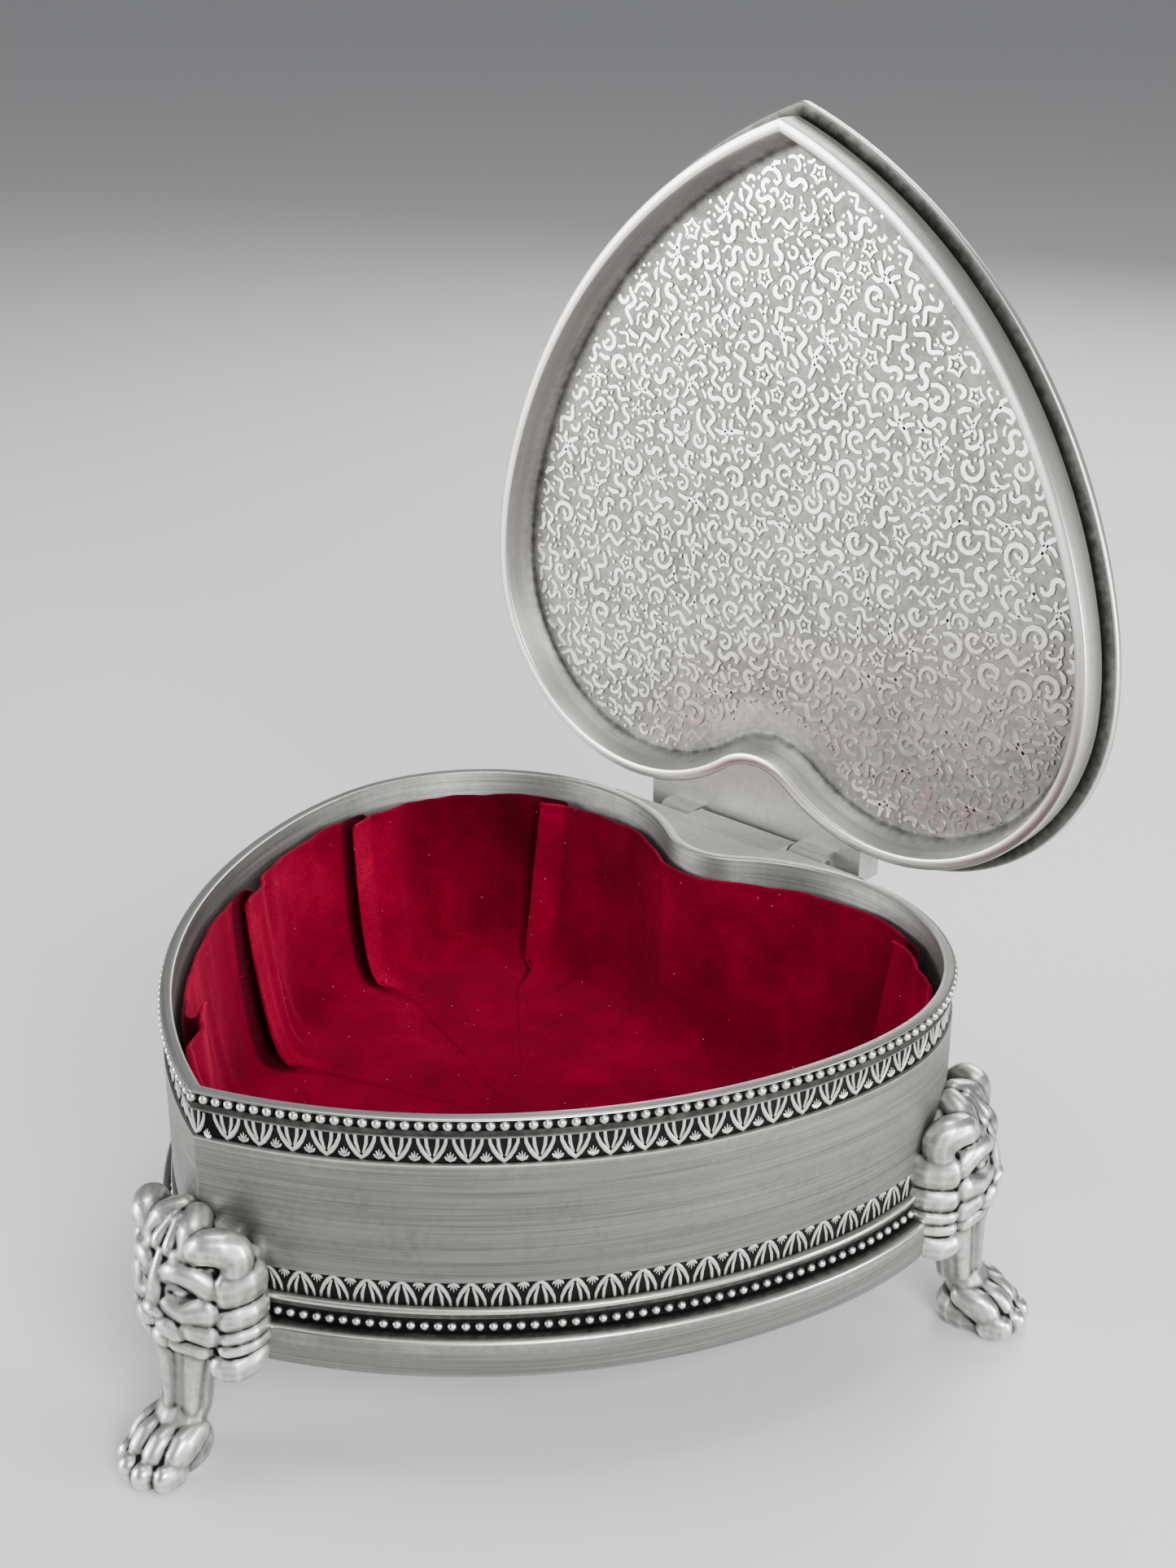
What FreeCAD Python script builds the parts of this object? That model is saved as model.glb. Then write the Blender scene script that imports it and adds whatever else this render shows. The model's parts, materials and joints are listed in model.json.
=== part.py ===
"""Heart-shaped wind-up music box: cast pewter-look body on three lion-paw legs,
hinged lid, velvet lining, and a small cylinder movement with comb and governor.

Millimetres, +Z up.  The box stands on z = 0.  X runs across the heart and the
heart's point is towards -Y.  The lid is modelled open, upright, as it rests.
"""
import FreeCAD, Part
import math
import os

# ---------------------------------------------------------------- driving sizes
# heart plan, outer face of the wall
HALF_WIDTH = 70.0        # widest line to the middle
TIP_REACH = 93.0         # widest line to the point
LOBE_RADIUS = 39.0       # the two lobes at the back
CLEFT_REACH = 28.5       # widest line to the bottom of the cleft
SHOULDER_TURN = 13.3     # degrees of wall that keep the half-width as radius
# body heights
BODY_HEIGHT = 46.0
LEG_CLEARANCE = 20.5     # ground to the underside of the plinth
WALL = 2.1
PLINTH_HEIGHT = 6.6
PLINTH_PROUD = 2.5
LEDGE_HEIGHT = 0.9       # thin ledge over the lower bead row
LEDGE_PROUD = 1.0
LEDGE_DROP = 35.0        # rim to the top of that ledge
# lid
LID_WALL = 2.1
LID_HEIGHT = 8.1
LID_RECESS = 6.4
LID_SEAT_GAP = 0.2
FLANGE_PROUD = 2.4
FLANGE_THICK = 1.9
GROOVE_DEEP = 0.7
GROOVE_HIGH = 0.8
CROWN_INSET = 7.0        # low raised field on the outside of the lid
CROWN_RISE = 0.9
# lid hinge
HINGE_BACK = 42.7        # widest line to the hinge axis
KNUCKLE_RADIUS = 2.2
HINGE_PIN_RADIUS = 1.0
WEB_THICK = 6.0
TONGUE_HALF = 11.9       # half width of the fixed knuckle
LID_KNUCKLE_LONG = 8.0
HINGE_SIDE_GAP = 0.3
WEB_HINGE_GAP = 1.2
BLOCK_HALF = 26.0        # half width of the lid's hinge block
BLOCK_BACK = 2.8         # hinge axis to the back of the block
BLOCK_ROUND = 2.3
# floor, lining
FLOOR_THICK = 1.5
FLOOR_FIT = 0.15
BOSS_RADIUS = 3.0
BOSS_HEIGHT = 2.6
BOSS_SINK = 0.6          # how far a boss runs into the wall
BOSS_TURN = 40.0         # degrees round the lobe from the side leg to its boss
BOARD_THICK = 1.2
BOARD_GAP = 0.2
VELVET_THICK = 1.0
VELVET_STANDOFF = 1.5    # wall to velvet, room for the screw pads
SKIN_GAP = 0.4           # between the lining and the cover's own velvet
VELVET_DROP = 4.4        # rim to the top edge of the velvet
# legs
LEG_TURN = 24.0          # side legs, degrees round the lobe from the widest line
MASK_HIGH = 33.0         # ground to the middle of the lion mask
MASK_OUT = 3.5
MASK_DEPTH = 8.5
MASK_HALF_WIDTH = 12.0
MASK_HALF_HEIGHT = 16.5
SHIN_OUT = 5.5
SHIN_TOP_RADIUS = 5.2
ANKLE_RADIUS = 3.6
PAW_BACK = 1.5
PAW_FRONT = 17.5
PAW_HALF_WIDTH = 7.0
PAW_HEIGHT = 8.5
PAW_ROUND = 2.5
# screws
SCREW_RADIUS = 1.0
SCREW_HEAD_RADIUS = 1.9
SCREW_HEAD = 0.9
SCREW_SLOT_HALF = 0.25
SCREW_CLEAR = 0.15       # clearance hole over the screw, on radius
LEG_SCREW_UP = 34.0      # ground to the leg screws
LEG_SCREW_LONG = 7.0
FLOOR_SCREW_LONG = 3.6
PAD_RADIUS = 2.8
PAD_THICK = 0.4
# movement, its own frame: x along the cylinder, z = 0 under the bedplate
MOVEMENT_TURN = 50.0     # degrees from X to the cylinder's axis
MOVEMENT_WALL_GAP = 21.0 # wall's inner face to the middle of the bedplate
MOVEMENT_ROUND_WALL = 40.0  # degrees round the front wall, where it stands
BED_LONG = 38.0
BED_WIDE = 33.0
BED_THICK = 2.0
BED_ROUND = 2.0
COVER_GAP = 0.5
COVER_WALL = 0.8
COVER_HIGH = 19.3
AXIS_UP = 10.2           # cylinder axis over the bedplate's underside
AXIS_Y = 2.0
RUN_FIT = 0.05           # running fit, on radius
SIDE_PLAY = 0.3
# gears
CROWN_TEETH = 30
CYL_PINION_TEETH = 10
CYL_PINION_RADIUS = 2.2
GREAT_TEETH = 32
GREAT_RADIUS = 6.0
GOV_PINION_TEETH = 8
WORM_WHEEL_TEETH = 12
WORM_WHEEL_RADIUS = 3.0
WORM_RADIUS = 1.0
TOOTH_SHARE = 0.36       # tooth width as a share of the pitch
ROOT_SHARE = 0.62        # half width at the root, as a share of the tooth's width
TIP_SHARE = 0.34         # the same at the tip
ADDENDUM = 0.62          # tooth height over the pitch circle, in modules
DEDENDUM = 0.95
# barrel
BARREL_X = -11.0
BARREL_WALL = 0.6
BARREL_FLOOR_GAP = 0.8   # bedplate to the barrel, room for the ratchet
BARREL_EDGE = 0.7        # crown tooth face either side of the pitch circle
SPRING_THICK = 0.25
SPRING_TURNS = 5
ARBOR_RADIUS = 1.2
ARBOR_HUB = 1.9
RATCHET_RADIUS = 3.4
RATCHET_THICK = 0.5
RATCHET_TEETH = 10
RATCHET_TOOTH = 0.7
RATCHET_UNDERCUT = 0.04
CLICK_BACK = 5.5         # arbor to the foot of the click
CLICK_FRONT = 2.0
CLICK_WIDE = 1.0
CLICK_GAP = 0.3
CLICK_FOOT_RADIUS = 1.4
SPRING_GAP = 0.1
HUB_GAP = 0.35           # arbor's hub to the spring's first turn
# cylinder and comb
DRUM_RADIUS = 3.6
DRUM_LONG = 15.0
DRUM_START = -1.6
PIN_RADIUS = 0.18
PIN_HIGH = 0.45
PIN_ROOT = 0.4           # length of a pin inside the drum
PINS_PER_NOTE = 4
PIN_NOTE_TURN = 137      # degrees between one note's first pin and the next note's
PIN_BEAT_TURN = 83       # degrees between the pins of one note
CYL_ARBOR_RADIUS = 0.6
GEAR_WIDE = 1.0
BRACKET_THICK = 1.0
BRACKET_WIDE = 5.0
BRACKET_OVER = 1.8       # top of a bracket over the axis
TRAIN_GAP = 0.8          # side gap between drum, gears and brackets
NOTES = 15
COMB_THICK = 0.6
COMB_SLOT = 0.25
COMB_TIP_GAP = 0.15
COMB_TOOTH_LONG = 8.5
COMB_BASE = 4.6
COMB_TUNING = 0.12       # each slot is this much shorter than the last
COMB_SCREW_SHARE = 0.22  # comb screws, as a share of its length from each end
COMB_BLOCK_EDGE = 0.5
# governor
WORM_LONG = 4.6
THREAD_HIGH = 0.28        # over the pitch circle
THREAD_DEEP = 0.40        # under the pitch circle
FLY_RADIUS = 2.9
FLY_HIGH = 2.6
FLY_THICK = 0.35
FLY_LIFT = 1.0           # worm wheel's pitch circle to the underside of the fly
FLY_COLLAR = 0.5
PIVOT_RADIUS = 0.35
PIVOT_LONG = 0.6
FRAME_PLATE = 0.8        # thickness of the governor frame's arm
FRAME_HALF = 1.4         # half width of its arm and foot
FRAME_FLY_GAP = 0.8
EAR_WIDE = 3.6
WORM_GEAR_SET_BACK = 2.2 # great gear to the worm wheel
GOV_ARBOR_BACK = 2.6     # worm wheel to the arbor's far end
# stop lever: brushes the fly when it is tipped
LEVER_WIDE = 0.8
LEVER_THICK = 0.8
LEVER_PIVOT_UP = 5.0
LEVER_TAIL = 2.5         # how far it shows under the plinth
LEVER_TOP_GAP = 1.2      # below the top of the fly
LEVER_BOSS = 0.7
LEVER_POST_GAP = 0.1
LEVER_POST_THICK = 1.2
LEVER_POST_HALF = 1.0
LEVER_POST_OVER = 1.4    # pivot to the top of its post
LEVER_EDGE_GAP = 2.1     # lever to the bedplate's end
LEVER_SWING = 1.9        # slot length on the side it swings to, in lever widths
# key
KEY_DROP = 2.0           # plinth underside to the top of the key
KEY_HUB_RADIUS = 2.4
KEY_HUB_HIGH = 5.0
KEY_WING_HALF = 7.5
KEY_WING_HIGH = 7.0
KEY_WING_THICK = 1.4
KEY_WING_ROUND = 0.4     # corner radius as a share of the wing's height
KEY_END = 1.0            # closed end of the hub under the arbor
KEY_BUSH_WALL = 0.6      # over the arbor's hub radius
TOUCH = 0.02             # keeps two touching solids from sharing a face

NODES = {}


# ---------------------------------------------------------------- small helpers
def vec(x, y, z=0.0):
    return FreeCAD.Vector(x, y, z)


def box(x0, x1, y0, y1, z0, z1):
    return Part.makeBox(x1 - x0, y1 - y0, z1 - z0, vec(x0, y0, z0))


def rod(radius, length, x, y, z, way=(0, 0, 1)):
    return Part.makeCylinder(radius, length, vec(x, y, z), vec(*way))


def round_box(x0, x1, y0, y1, z0, z1, radius):
    solid = box(x0, x1, y0, y1, z0, z1)
    upright = [e for e in solid.Edges
               if abs(e.Vertexes[0].Z - e.Vertexes[1].Z) > (z1 - z0) / 2]
    return solid.makeFillet(radius, upright)


def screw_slot(x, y, z0, z1):
    return box(x - SCREW_HEAD_RADIUS, x + SCREW_HEAD_RADIUS, y - SCREW_SLOT_HALF,
               y + SCREW_SLOT_HALF, z0, z1)


def prism(points, z0, z1):
    loop = [vec(x, y, z0) for x, y in points]
    face = Part.Face(Part.makePolygon(loop + [loop[0]]))
    return face.extrude(vec(0, 0, z1 - z0))


def along_x(shape, x):
    """Turn a shape built on the Z axis so that its axis is X, starting at x."""
    turned = shape.copy()
    turned.rotate(vec(0, 0, 0), vec(0, 1, 0), 90)
    turned.translate(vec(x, 0, 0))
    return turned


def keep(name, shape):
    NODES[name] = shape.removeSplitter() if len(shape.Solids) == 1 else shape


# ---------------------------------------------------------------- heart outline
def side_arc():
    """Centre and radius of the long arc from the shoulder to the point."""
    turn = math.radians(SHOULDER_TURN)
    nx, ny = math.cos(turn), -math.sin(turn)
    px, py = HALF_WIDTH * nx, HALF_WIDTH * ny
    to_tip_y = py + TIP_REACH
    radius = (px * px + to_tip_y * to_tip_y) / (2 * (nx * px + ny * to_tip_y))
    return px - radius * nx, py - radius * ny, radius


LOBE_X = HALF_WIDTH - LOBE_RADIUS
# the cleft's arc touches both lobes
CLEFT_RADIUS = (LOBE_X ** 2 + CLEFT_REACH ** 2 - LOBE_RADIUS ** 2) / (
    2 * (LOBE_RADIUS - CLEFT_REACH))
CLEFT_Y = CLEFT_REACH + CLEFT_RADIUS
SIDE_X, SIDE_Y, SIDE_RADIUS = side_arc()


def tip_y(grow=0.0):
    return SIDE_Y - math.sqrt((SIDE_RADIUS + grow) ** 2 - SIDE_X ** 2)


def heart_wire(grow, z):
    """The heart's outline, moved outwards by grow, at height z."""
    turn = math.radians(SHOULDER_TURN)
    lobe = LOBE_RADIUS + grow
    wide = HALF_WIDTH + grow
    long_side = SIDE_RADIUS + grow
    cleft = CLEFT_RADIUS - grow
    reach = math.hypot(LOBE_X, CLEFT_Y)
    ux, uy = -LOBE_X / reach, CLEFT_Y / reach
    join = (LOBE_X + lobe * ux, lobe * uy)
    tip_turn = math.acos(-SIDE_X / long_side)
    mid_turn = (turn + tip_turn) / 2

    def half(sign):
        lobe_mid = math.atan2(uy, ux) / 2
        steps = [
            (join[0], join[1]),
            (LOBE_X + lobe * math.cos(lobe_mid), lobe * math.sin(lobe_mid)),
            (wide, 0.0),
            (wide * math.cos(turn / 2), -wide * math.sin(turn / 2)),
            (wide * math.cos(turn), -wide * math.sin(turn)),
            (SIDE_X + long_side * math.cos(mid_turn), SIDE_Y - long_side * math.sin(mid_turn)),
            (0.0, tip_y(grow)),
        ]
        return [vec(sign * x, y, z) for x, y in steps]

    right = half(1)
    left = half(-1)
    cleft_mid = vec(0, CLEFT_Y - cleft, z)
    edges = [Part.Arc(left[0], cleft_mid, right[0]).toShape()]
    for i in (0, 2, 4):
        edges.append(Part.Arc(right[i], right[i + 1], right[i + 2]).toShape())
    for i in (6, 4, 2):
        edges.append(Part.Arc(left[i], left[i - 1], left[i - 2]).toShape())
    return Part.Wire(edges)


def heart(grow, z0, z1):
    return Part.Face(heart_wire(grow, z0)).extrude(vec(0, 0, z1 - z0))


# ---------------------------------------------------------------- derived places
PLINTH_Z = LEG_CLEARANCE
RIM_Z = PLINTH_Z + BODY_HEIGHT
HINGE_Z = RIM_Z - KNUCKLE_RADIUS
FLOOR_TOP = PLINTH_Z + FLOOR_THICK
BOARD_Z = FLOOR_TOP + BOSS_HEIGHT + BOARD_GAP
VELVET_FLOOR_Z = BOARD_Z + BOARD_THICK
LID_Z = RIM_Z + LID_SEAT_GAP
LID_TOP = LID_Z + LID_HEIGHT
MODULE = GREAT_RADIUS * 2 / GREAT_TEETH
GOV_PINION_RADIUS = GOV_PINION_TEETH * MODULE / 2
GOV_Y = AXIS_Y + GREAT_RADIUS + GOV_PINION_RADIUS
CROWN_RADIUS = CYL_PINION_RADIUS * CROWN_TEETH / CYL_PINION_TEETH
CROWN_Z = AXIS_UP - CYL_PINION_RADIUS
PINION_X = BARREL_X + CROWN_RADIUS
DRUM_END = DRUM_START + DRUM_LONG
GREAT_X = DRUM_END + TRAIN_GAP
RIGHT_BRACKET_X = GREAT_X + GEAR_WIDE + TRAIN_GAP
LEFT_BRACKET_X = DRUM_START - TRAIN_GAP - BRACKET_THICK
WORM_X = GREAT_X - WORM_GEAR_SET_BACK
WORM_Y = GOV_Y + WORM_WHEEL_RADIUS + WORM_RADIUS
WORM_LEAD = 2 * math.pi * WORM_WHEEL_RADIUS / WORM_WHEEL_TEETH
FLY_Z = AXIS_UP + WORM_WHEEL_RADIUS + FLY_LIFT
KEY_BUSH_RADIUS = ARBOR_HUB + KEY_BUSH_WALL


def leg_place(index):
    """Foot of the wall under a leg and the way it faces: 0 front, 1 right, 2 left."""
    if index == 0:
        return 0.0, tip_y(), -90.0
    turn = math.radians(LEG_TURN)
    x = LOBE_X + LOBE_RADIUS * math.cos(turn)
    y = LOBE_RADIUS * math.sin(turn)
    return (x, y, LEG_TURN) if index == 1 else (-x, y, 180.0 - LEG_TURN)


def put_leg(shape, index):
    """Move a shape from the leg's frame (x outwards from the wall) to its place."""
    x, y, turn = leg_place(index)
    moved = shape.copy()
    moved.rotate(vec(0, 0, 0), vec(0, 0, 1), turn)
    moved.translate(vec(x, y, 0))
    return moved


def movement_place(shape):
    """Move a shape from the movement's frame to its place on the floor plate."""
    turn = math.radians(MOVEMENT_ROUND_WALL)
    out = SIDE_RADIUS - WALL - MOVEMENT_WALL_GAP
    moved = shape.copy()
    moved.rotate(vec(0, 0, 0), vec(0, 0, 1), MOVEMENT_TURN)
    moved.translate(vec(SIDE_X + out * math.cos(turn), SIDE_Y - out * math.sin(turn), FLOOR_TOP))
    return moved


def floor_boss_places():
    """Bosses stand inside the wall: in the point and in both lobes."""
    inset = WALL + BOSS_RADIUS - BOSS_SINK
    turn = math.radians(LEG_TURN + BOSS_TURN)
    x = LOBE_X + (LOBE_RADIUS - inset) * math.cos(turn)
    y = (LOBE_RADIUS - inset) * math.sin(turn)
    return [(0.0, tip_y(-inset) + BOSS_SINK), (x, y), (-x, y)]


# ---------------------------------------------------------------- body
def body_outside():
    """Everything inside the outer faces of wall, ledge and plinth."""
    ledge_z = RIM_Z - LEDGE_DROP
    plinth = heart(PLINTH_PROUD, PLINTH_Z, PLINTH_Z + PLINTH_HEIGHT)
    ledge = heart(LEDGE_PROUD, ledge_z - LEDGE_HEIGHT, ledge_z)
    return heart(0.0, PLINTH_Z, RIM_Z).fuse([plinth, ledge])


def screw_pad(index):
    """Flat pad inside the wall for a leg screw's head."""
    pad = rod(PAD_RADIUS, WALL + PAD_THICK, -(WALL + PAD_THICK), 0, LEG_SCREW_UP, (1, 0, 0))
    return put_leg(pad, index).common(heart(-WALL / 2, PLINTH_Z, RIM_Z))


def head_seat(index):
    """Flat seat for a leg screw's head, sunk into the corner at the heart's point."""
    start = -(WALL + PAD_THICK)
    seat = rod(SCREW_HEAD_RADIUS + SCREW_CLEAR, 3 * SCREW_HEAD, start, 0, LEG_SCREW_UP, (-1, 0, 0))
    return put_leg(seat, index)


def leg_screw_bore(index):
    length = WALL + PAD_THICK + 1.0
    bore = rod(SCREW_RADIUS + SCREW_CLEAR, length, -length + 0.5, 0, LEG_SCREW_UP, (1, 0, 0))
    return put_leg(bore, index)


def build_body():
    inside = heart(-WALL, PLINTH_Z - 1, RIM_Z + 1)
    shell = body_outside()
    web_back = HINGE_BACK - KNUCKLE_RADIUS - WEB_HINGE_GAP
    web = box(-LOBE_X, LOBE_X, 0, web_back, RIM_Z - WEB_THICK, RIM_Z)
    tongue = box(-TONGUE_HALF, TONGUE_HALF, 0, HINGE_BACK, RIM_Z - WEB_THICK, RIM_Z)
    # square below the axis, where the open lid stops, and round above it
    stop = box(-TONGUE_HALF, TONGUE_HALF, 0, HINGE_BACK + KNUCKLE_RADIUS, RIM_Z - WEB_THICK, HINGE_Z)
    knuckle = rod(KNUCKLE_RADIUS, 2 * TONGUE_HALF, -TONGUE_HALF, HINGE_BACK, HINGE_Z, (1, 0, 0))
    shell = shell.fuse([web, tongue, stop, knuckle]).cut(inside)
    bosses = [rod(BOSS_RADIUS, BOSS_HEIGHT, x, y, FLOOR_TOP) for x, y in floor_boss_places()]
    pads = [screw_pad(i) for i in range(3)]
    shell = shell.fuse(bosses + pads)
    cuts = [rod(SCREW_RADIUS, BOSS_HEIGHT + 1, x, y, FLOOR_TOP) for x, y in floor_boss_places()]
    cuts += [leg_screw_bore(i) for i in range(3)]
    cuts += [head_seat(i) for i in range(3)]
    cuts.append(rod(HINGE_PIN_RADIUS, 2 * TONGUE_HALF + 2, -TONGUE_HALF - 1,
                    HINGE_BACK, HINGE_Z, (1, 0, 0)))
    keep("body_shell", shell.cut(cuts))


def build_floor():
    plate = heart(-WALL - FLOOR_FIT, PLINTH_Z, FLOOR_TOP)
    cuts = [rod(SCREW_RADIUS + SCREW_CLEAR, FLOOR_THICK + 2, x, y, PLINTH_Z - 1)
            for x, y in floor_boss_places()]
    key_bore = rod(KEY_BUSH_RADIUS, FLOOR_THICK + 2, BARREL_X, AXIS_Y, -FLOOR_THICK - 1)
    lever_slot = box(*STOP_SLOT, -FLOOR_THICK - 1, 1)
    cuts += [movement_place(key_bore), movement_place(lever_slot)]
    for x, y in MOVEMENT_SCREWS:
        hole = rod(SCREW_RADIUS + SCREW_CLEAR, FLOOR_THICK + 2, x, y, -FLOOR_THICK - 1)
        cuts.append(movement_place(hole))
    keep("floor_plate", plate.cut(cuts))
    bush = rod(KEY_BUSH_RADIUS, FLOOR_THICK, BARREL_X, AXIS_Y, -FLOOR_THICK)
    bush = bush.cut(rod(ARBOR_RADIUS + RUN_FIT, FLOOR_THICK + 2, BARREL_X, AXIS_Y, -FLOOR_THICK - 1))
    keep("key_bush", movement_place(bush))
    screws = []
    for x, y in floor_boss_places():
        head = rod(SCREW_HEAD_RADIUS, SCREW_HEAD, x, y, PLINTH_Z - SCREW_HEAD)
        slot = screw_slot(x, y, PLINTH_Z - SCREW_HEAD, PLINTH_Z - SCREW_HEAD / 2)
        stem = rod(SCREW_RADIUS, FLOOR_SCREW_LONG, x, y, PLINTH_Z)
        screws.append(head.cut(slot).fuse(stem))
    keep("floor_screws", Part.makeCompound(screws))


def cover_box(grow, z0, z1):
    half_x = BED_LONG / 2 + COVER_GAP + grow
    half_y = BED_WIDE / 2 + COVER_GAP + grow
    return round_box(-half_x, half_x, -half_y, half_y, z0, z1, BED_ROUND + COVER_GAP + grow)


def build_lining():
    board = heart(-WALL - 2 * FLOOR_FIT, BOARD_Z, BOARD_Z + BOARD_THICK)
    grow = COVER_WALL + VELVET_THICK + SKIN_GAP
    opening = movement_place(cover_box(grow, 0, COVER_HIGH + VELVET_THICK + SKIN_GAP))
    # the board's opening runs out to the wall, so that no thin strip is left there
    half_x = BED_LONG / 2 + COVER_GAP + grow
    notch = box(-half_x, half_x, -MOVEMENT_WALL_GAP - WALL, 0, 0, COVER_HIGH)
    keep("floor_board", board.cut([opening, movement_place(notch)]))
    outer = -WALL - VELVET_STANDOFF
    top = RIM_Z - VELVET_DROP
    pan = heart(outer, VELVET_FLOOR_Z, top)
    hollow = heart(outer - VELVET_THICK, VELVET_FLOOR_Z + VELVET_THICK, top + 1)
    keep("velvet_lining", pan.cut(hollow).cut(opening))
    high = COVER_HIGH
    cover = cover_box(COVER_WALL, 0, high).cut(cover_box(0, -1, high - COVER_WALL))
    keep("movement_cover", movement_place(cover))
    low = VELVET_FLOOR_Z - FLOOR_TOP
    skin = cover_box(COVER_WALL + VELVET_THICK, low, high + VELVET_THICK)
    skin = skin.cut(cover_box(COVER_WALL + TOUCH, low - 1, high + TOUCH))
    keep("cover_velvet", movement_place(skin))


# ---------------------------------------------------------------- legs
def leg_solid():
    mask = Part.makeSphere(1.0)
    stretch = FreeCAD.Matrix()
    stretch.scale(MASK_DEPTH, MASK_HALF_WIDTH, MASK_HALF_HEIGHT)
    mask = mask.transformGeometry(stretch)
    mask.translate(vec(MASK_OUT, 0, MASK_HIGH))
    ankle_z = PAW_HEIGHT * 0.6
    shin = Part.makeCone(ANKLE_RADIUS, SHIN_TOP_RADIUS, MASK_HIGH - ankle_z, vec(SHIN_OUT, 0, ankle_z))
    paw = box(PAW_BACK, PAW_FRONT, -PAW_HALF_WIDTH, PAW_HALF_WIDTH, 0, PAW_HEIGHT)
    rounded = [e for e in paw.Edges if max(v.Z for v in e.Vertexes) > PAW_HEIGHT / 2]
    paw = paw.makeFillet(PAW_ROUND, rounded)
    return mask.fuse([shin, paw])


def build_legs():
    outside = body_outside()
    plain = leg_solid()
    screws = []
    for index, name in enumerate(("front_leg", "right_leg", "left_leg")):
        start = -(WALL + PAD_THICK)
        stem = put_leg(rod(SCREW_RADIUS, LEG_SCREW_LONG, start, 0, LEG_SCREW_UP, (1, 0, 0)), index)
        head = rod(SCREW_HEAD_RADIUS, SCREW_HEAD, start - SCREW_HEAD, 0, LEG_SCREW_UP, (1, 0, 0))
        slot = box(start - SCREW_HEAD, start - SCREW_HEAD / 2, -SCREW_SLOT_HALF, SCREW_SLOT_HALF,
                   LEG_SCREW_UP - SCREW_HEAD_RADIUS, LEG_SCREW_UP + SCREW_HEAD_RADIUS)
        screws.append(put_leg(head.cut(slot), index).fuse(stem))
        keep(name, put_leg(plain, index).cut([outside, stem]))
    keep("leg_screws", Part.makeCompound(screws))


# ---------------------------------------------------------------- lid
def build_lid():
    flange_z = LID_TOP - FLANGE_THICK
    outside = heart(0.0, LID_Z, flange_z - GROOVE_HIGH)
    groove = heart(-GROOVE_DEEP, flange_z - GROOVE_HIGH, flange_z)
    flange = heart(FLANGE_PROUD, flange_z, LID_TOP)
    crown = heart(-CROWN_INSET, LID_TOP, LID_TOP + CROWN_RISE)
    lid = outside.fuse([groove, flange, crown])
    lid = lid.cut(heart(-LID_WALL, LID_Z - 1, LID_Z + LID_RECESS))
    back = HINGE_BACK + BLOCK_BACK
    corner = [vec(0, 0, LID_Z), vec(0, back - BLOCK_ROUND, LID_Z),
              vec(0, back, LID_Z + BLOCK_ROUND), vec(0, back, flange_z), vec(0, 0, flange_z)]
    bend = vec(0, back - BLOCK_ROUND * (1 - math.sin(math.pi / 4)),
               LID_Z + BLOCK_ROUND * (1 - math.cos(math.pi / 4)))
    edges = [Part.LineSegment(corner[0], corner[1]).toShape(),
             Part.Arc(corner[1], bend, corner[2]).toShape(),
             Part.LineSegment(corner[2], corner[3]).toShape(),
             Part.LineSegment(corner[3], corner[4]).toShape(),
             Part.LineSegment(corner[4], corner[0]).toShape()]
    block = Part.Face(Part.Wire(edges)).extrude(vec(2 * BLOCK_HALF, 0, 0))
    block.translate(vec(-BLOCK_HALF, 0, 0))
    lid_mass = heart(TOUCH, LID_Z - 1, flange_z - GROOVE_HIGH)
    lid_mass = lid_mass.fuse(heart(TOUCH - GROOVE_DEEP, flange_z - GROOVE_HIGH - 1, flange_z + 1))
    block = block.cut(lid_mass)
    block = max(block.Solids, key=lambda s: s.BoundBox.YMax)
    for side in (-1, 1):
        x0 = TONGUE_HALF + HINGE_SIDE_GAP
        start = x0 if side > 0 else -x0 - LID_KNUCKLE_LONG
        knuckle = rod(KNUCKLE_RADIUS, LID_KNUCKLE_LONG, start, HINGE_BACK, HINGE_Z, (1, 0, 0))
        neck = box(start, start + LID_KNUCKLE_LONG, HINGE_BACK - KNUCKLE_RADIUS,
                   HINGE_BACK + KNUCKLE_RADIUS, HINGE_Z, LID_Z + 1)
        block = block.fuse([knuckle, neck])
    reach = TONGUE_HALF + HINGE_SIDE_GAP + LID_KNUCKLE_LONG
    bore = rod(HINGE_PIN_RADIUS + RUN_FIT, 2 * reach + 4, -reach - 2, HINGE_BACK, HINGE_Z, (1, 0, 0))
    block = block.cut(bore)
    for name, shape in (("lid_shell", lid), ("lid_hinge_block", block)):
        opened = shape.copy()
        opened.rotate(vec(0, HINGE_BACK, HINGE_Z), vec(1, 0, 0), -90)
        keep(name, opened)
    keep("hinge_pin", rod(HINGE_PIN_RADIUS, 2 * reach, -reach, HINGE_BACK, HINGE_Z, (1, 0, 0)))


# ---------------------------------------------------------------- gear shapes
def gear_disc(teeth, pitch_radius, thick, bore, phase=0.0):
    """Spur gear on the Z axis, a tooth centred at phase (degrees)."""
    module = 2 * pitch_radius / teeth
    tip = pitch_radius + ADDENDUM * module
    root = pitch_radius - DEDENDUM * module
    step = 2 * math.pi / teeth
    points = []
    for i in range(teeth):
        mid = math.radians(phase) + i * step
        wide_root = step * TOOTH_SHARE * ROOT_SHARE
        wide_tip = step * TOOTH_SHARE * TIP_SHARE
        for radius, offset in ((root, -wide_root), (tip, -wide_tip), (tip, wide_tip), (root, wide_root)):
            points.append((radius * math.cos(mid + offset), radius * math.sin(mid + offset)))
    disc = prism(points, 0, thick)
    return disc.cut(rod(bore, thick + 2, 0, 0, -1))


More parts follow.
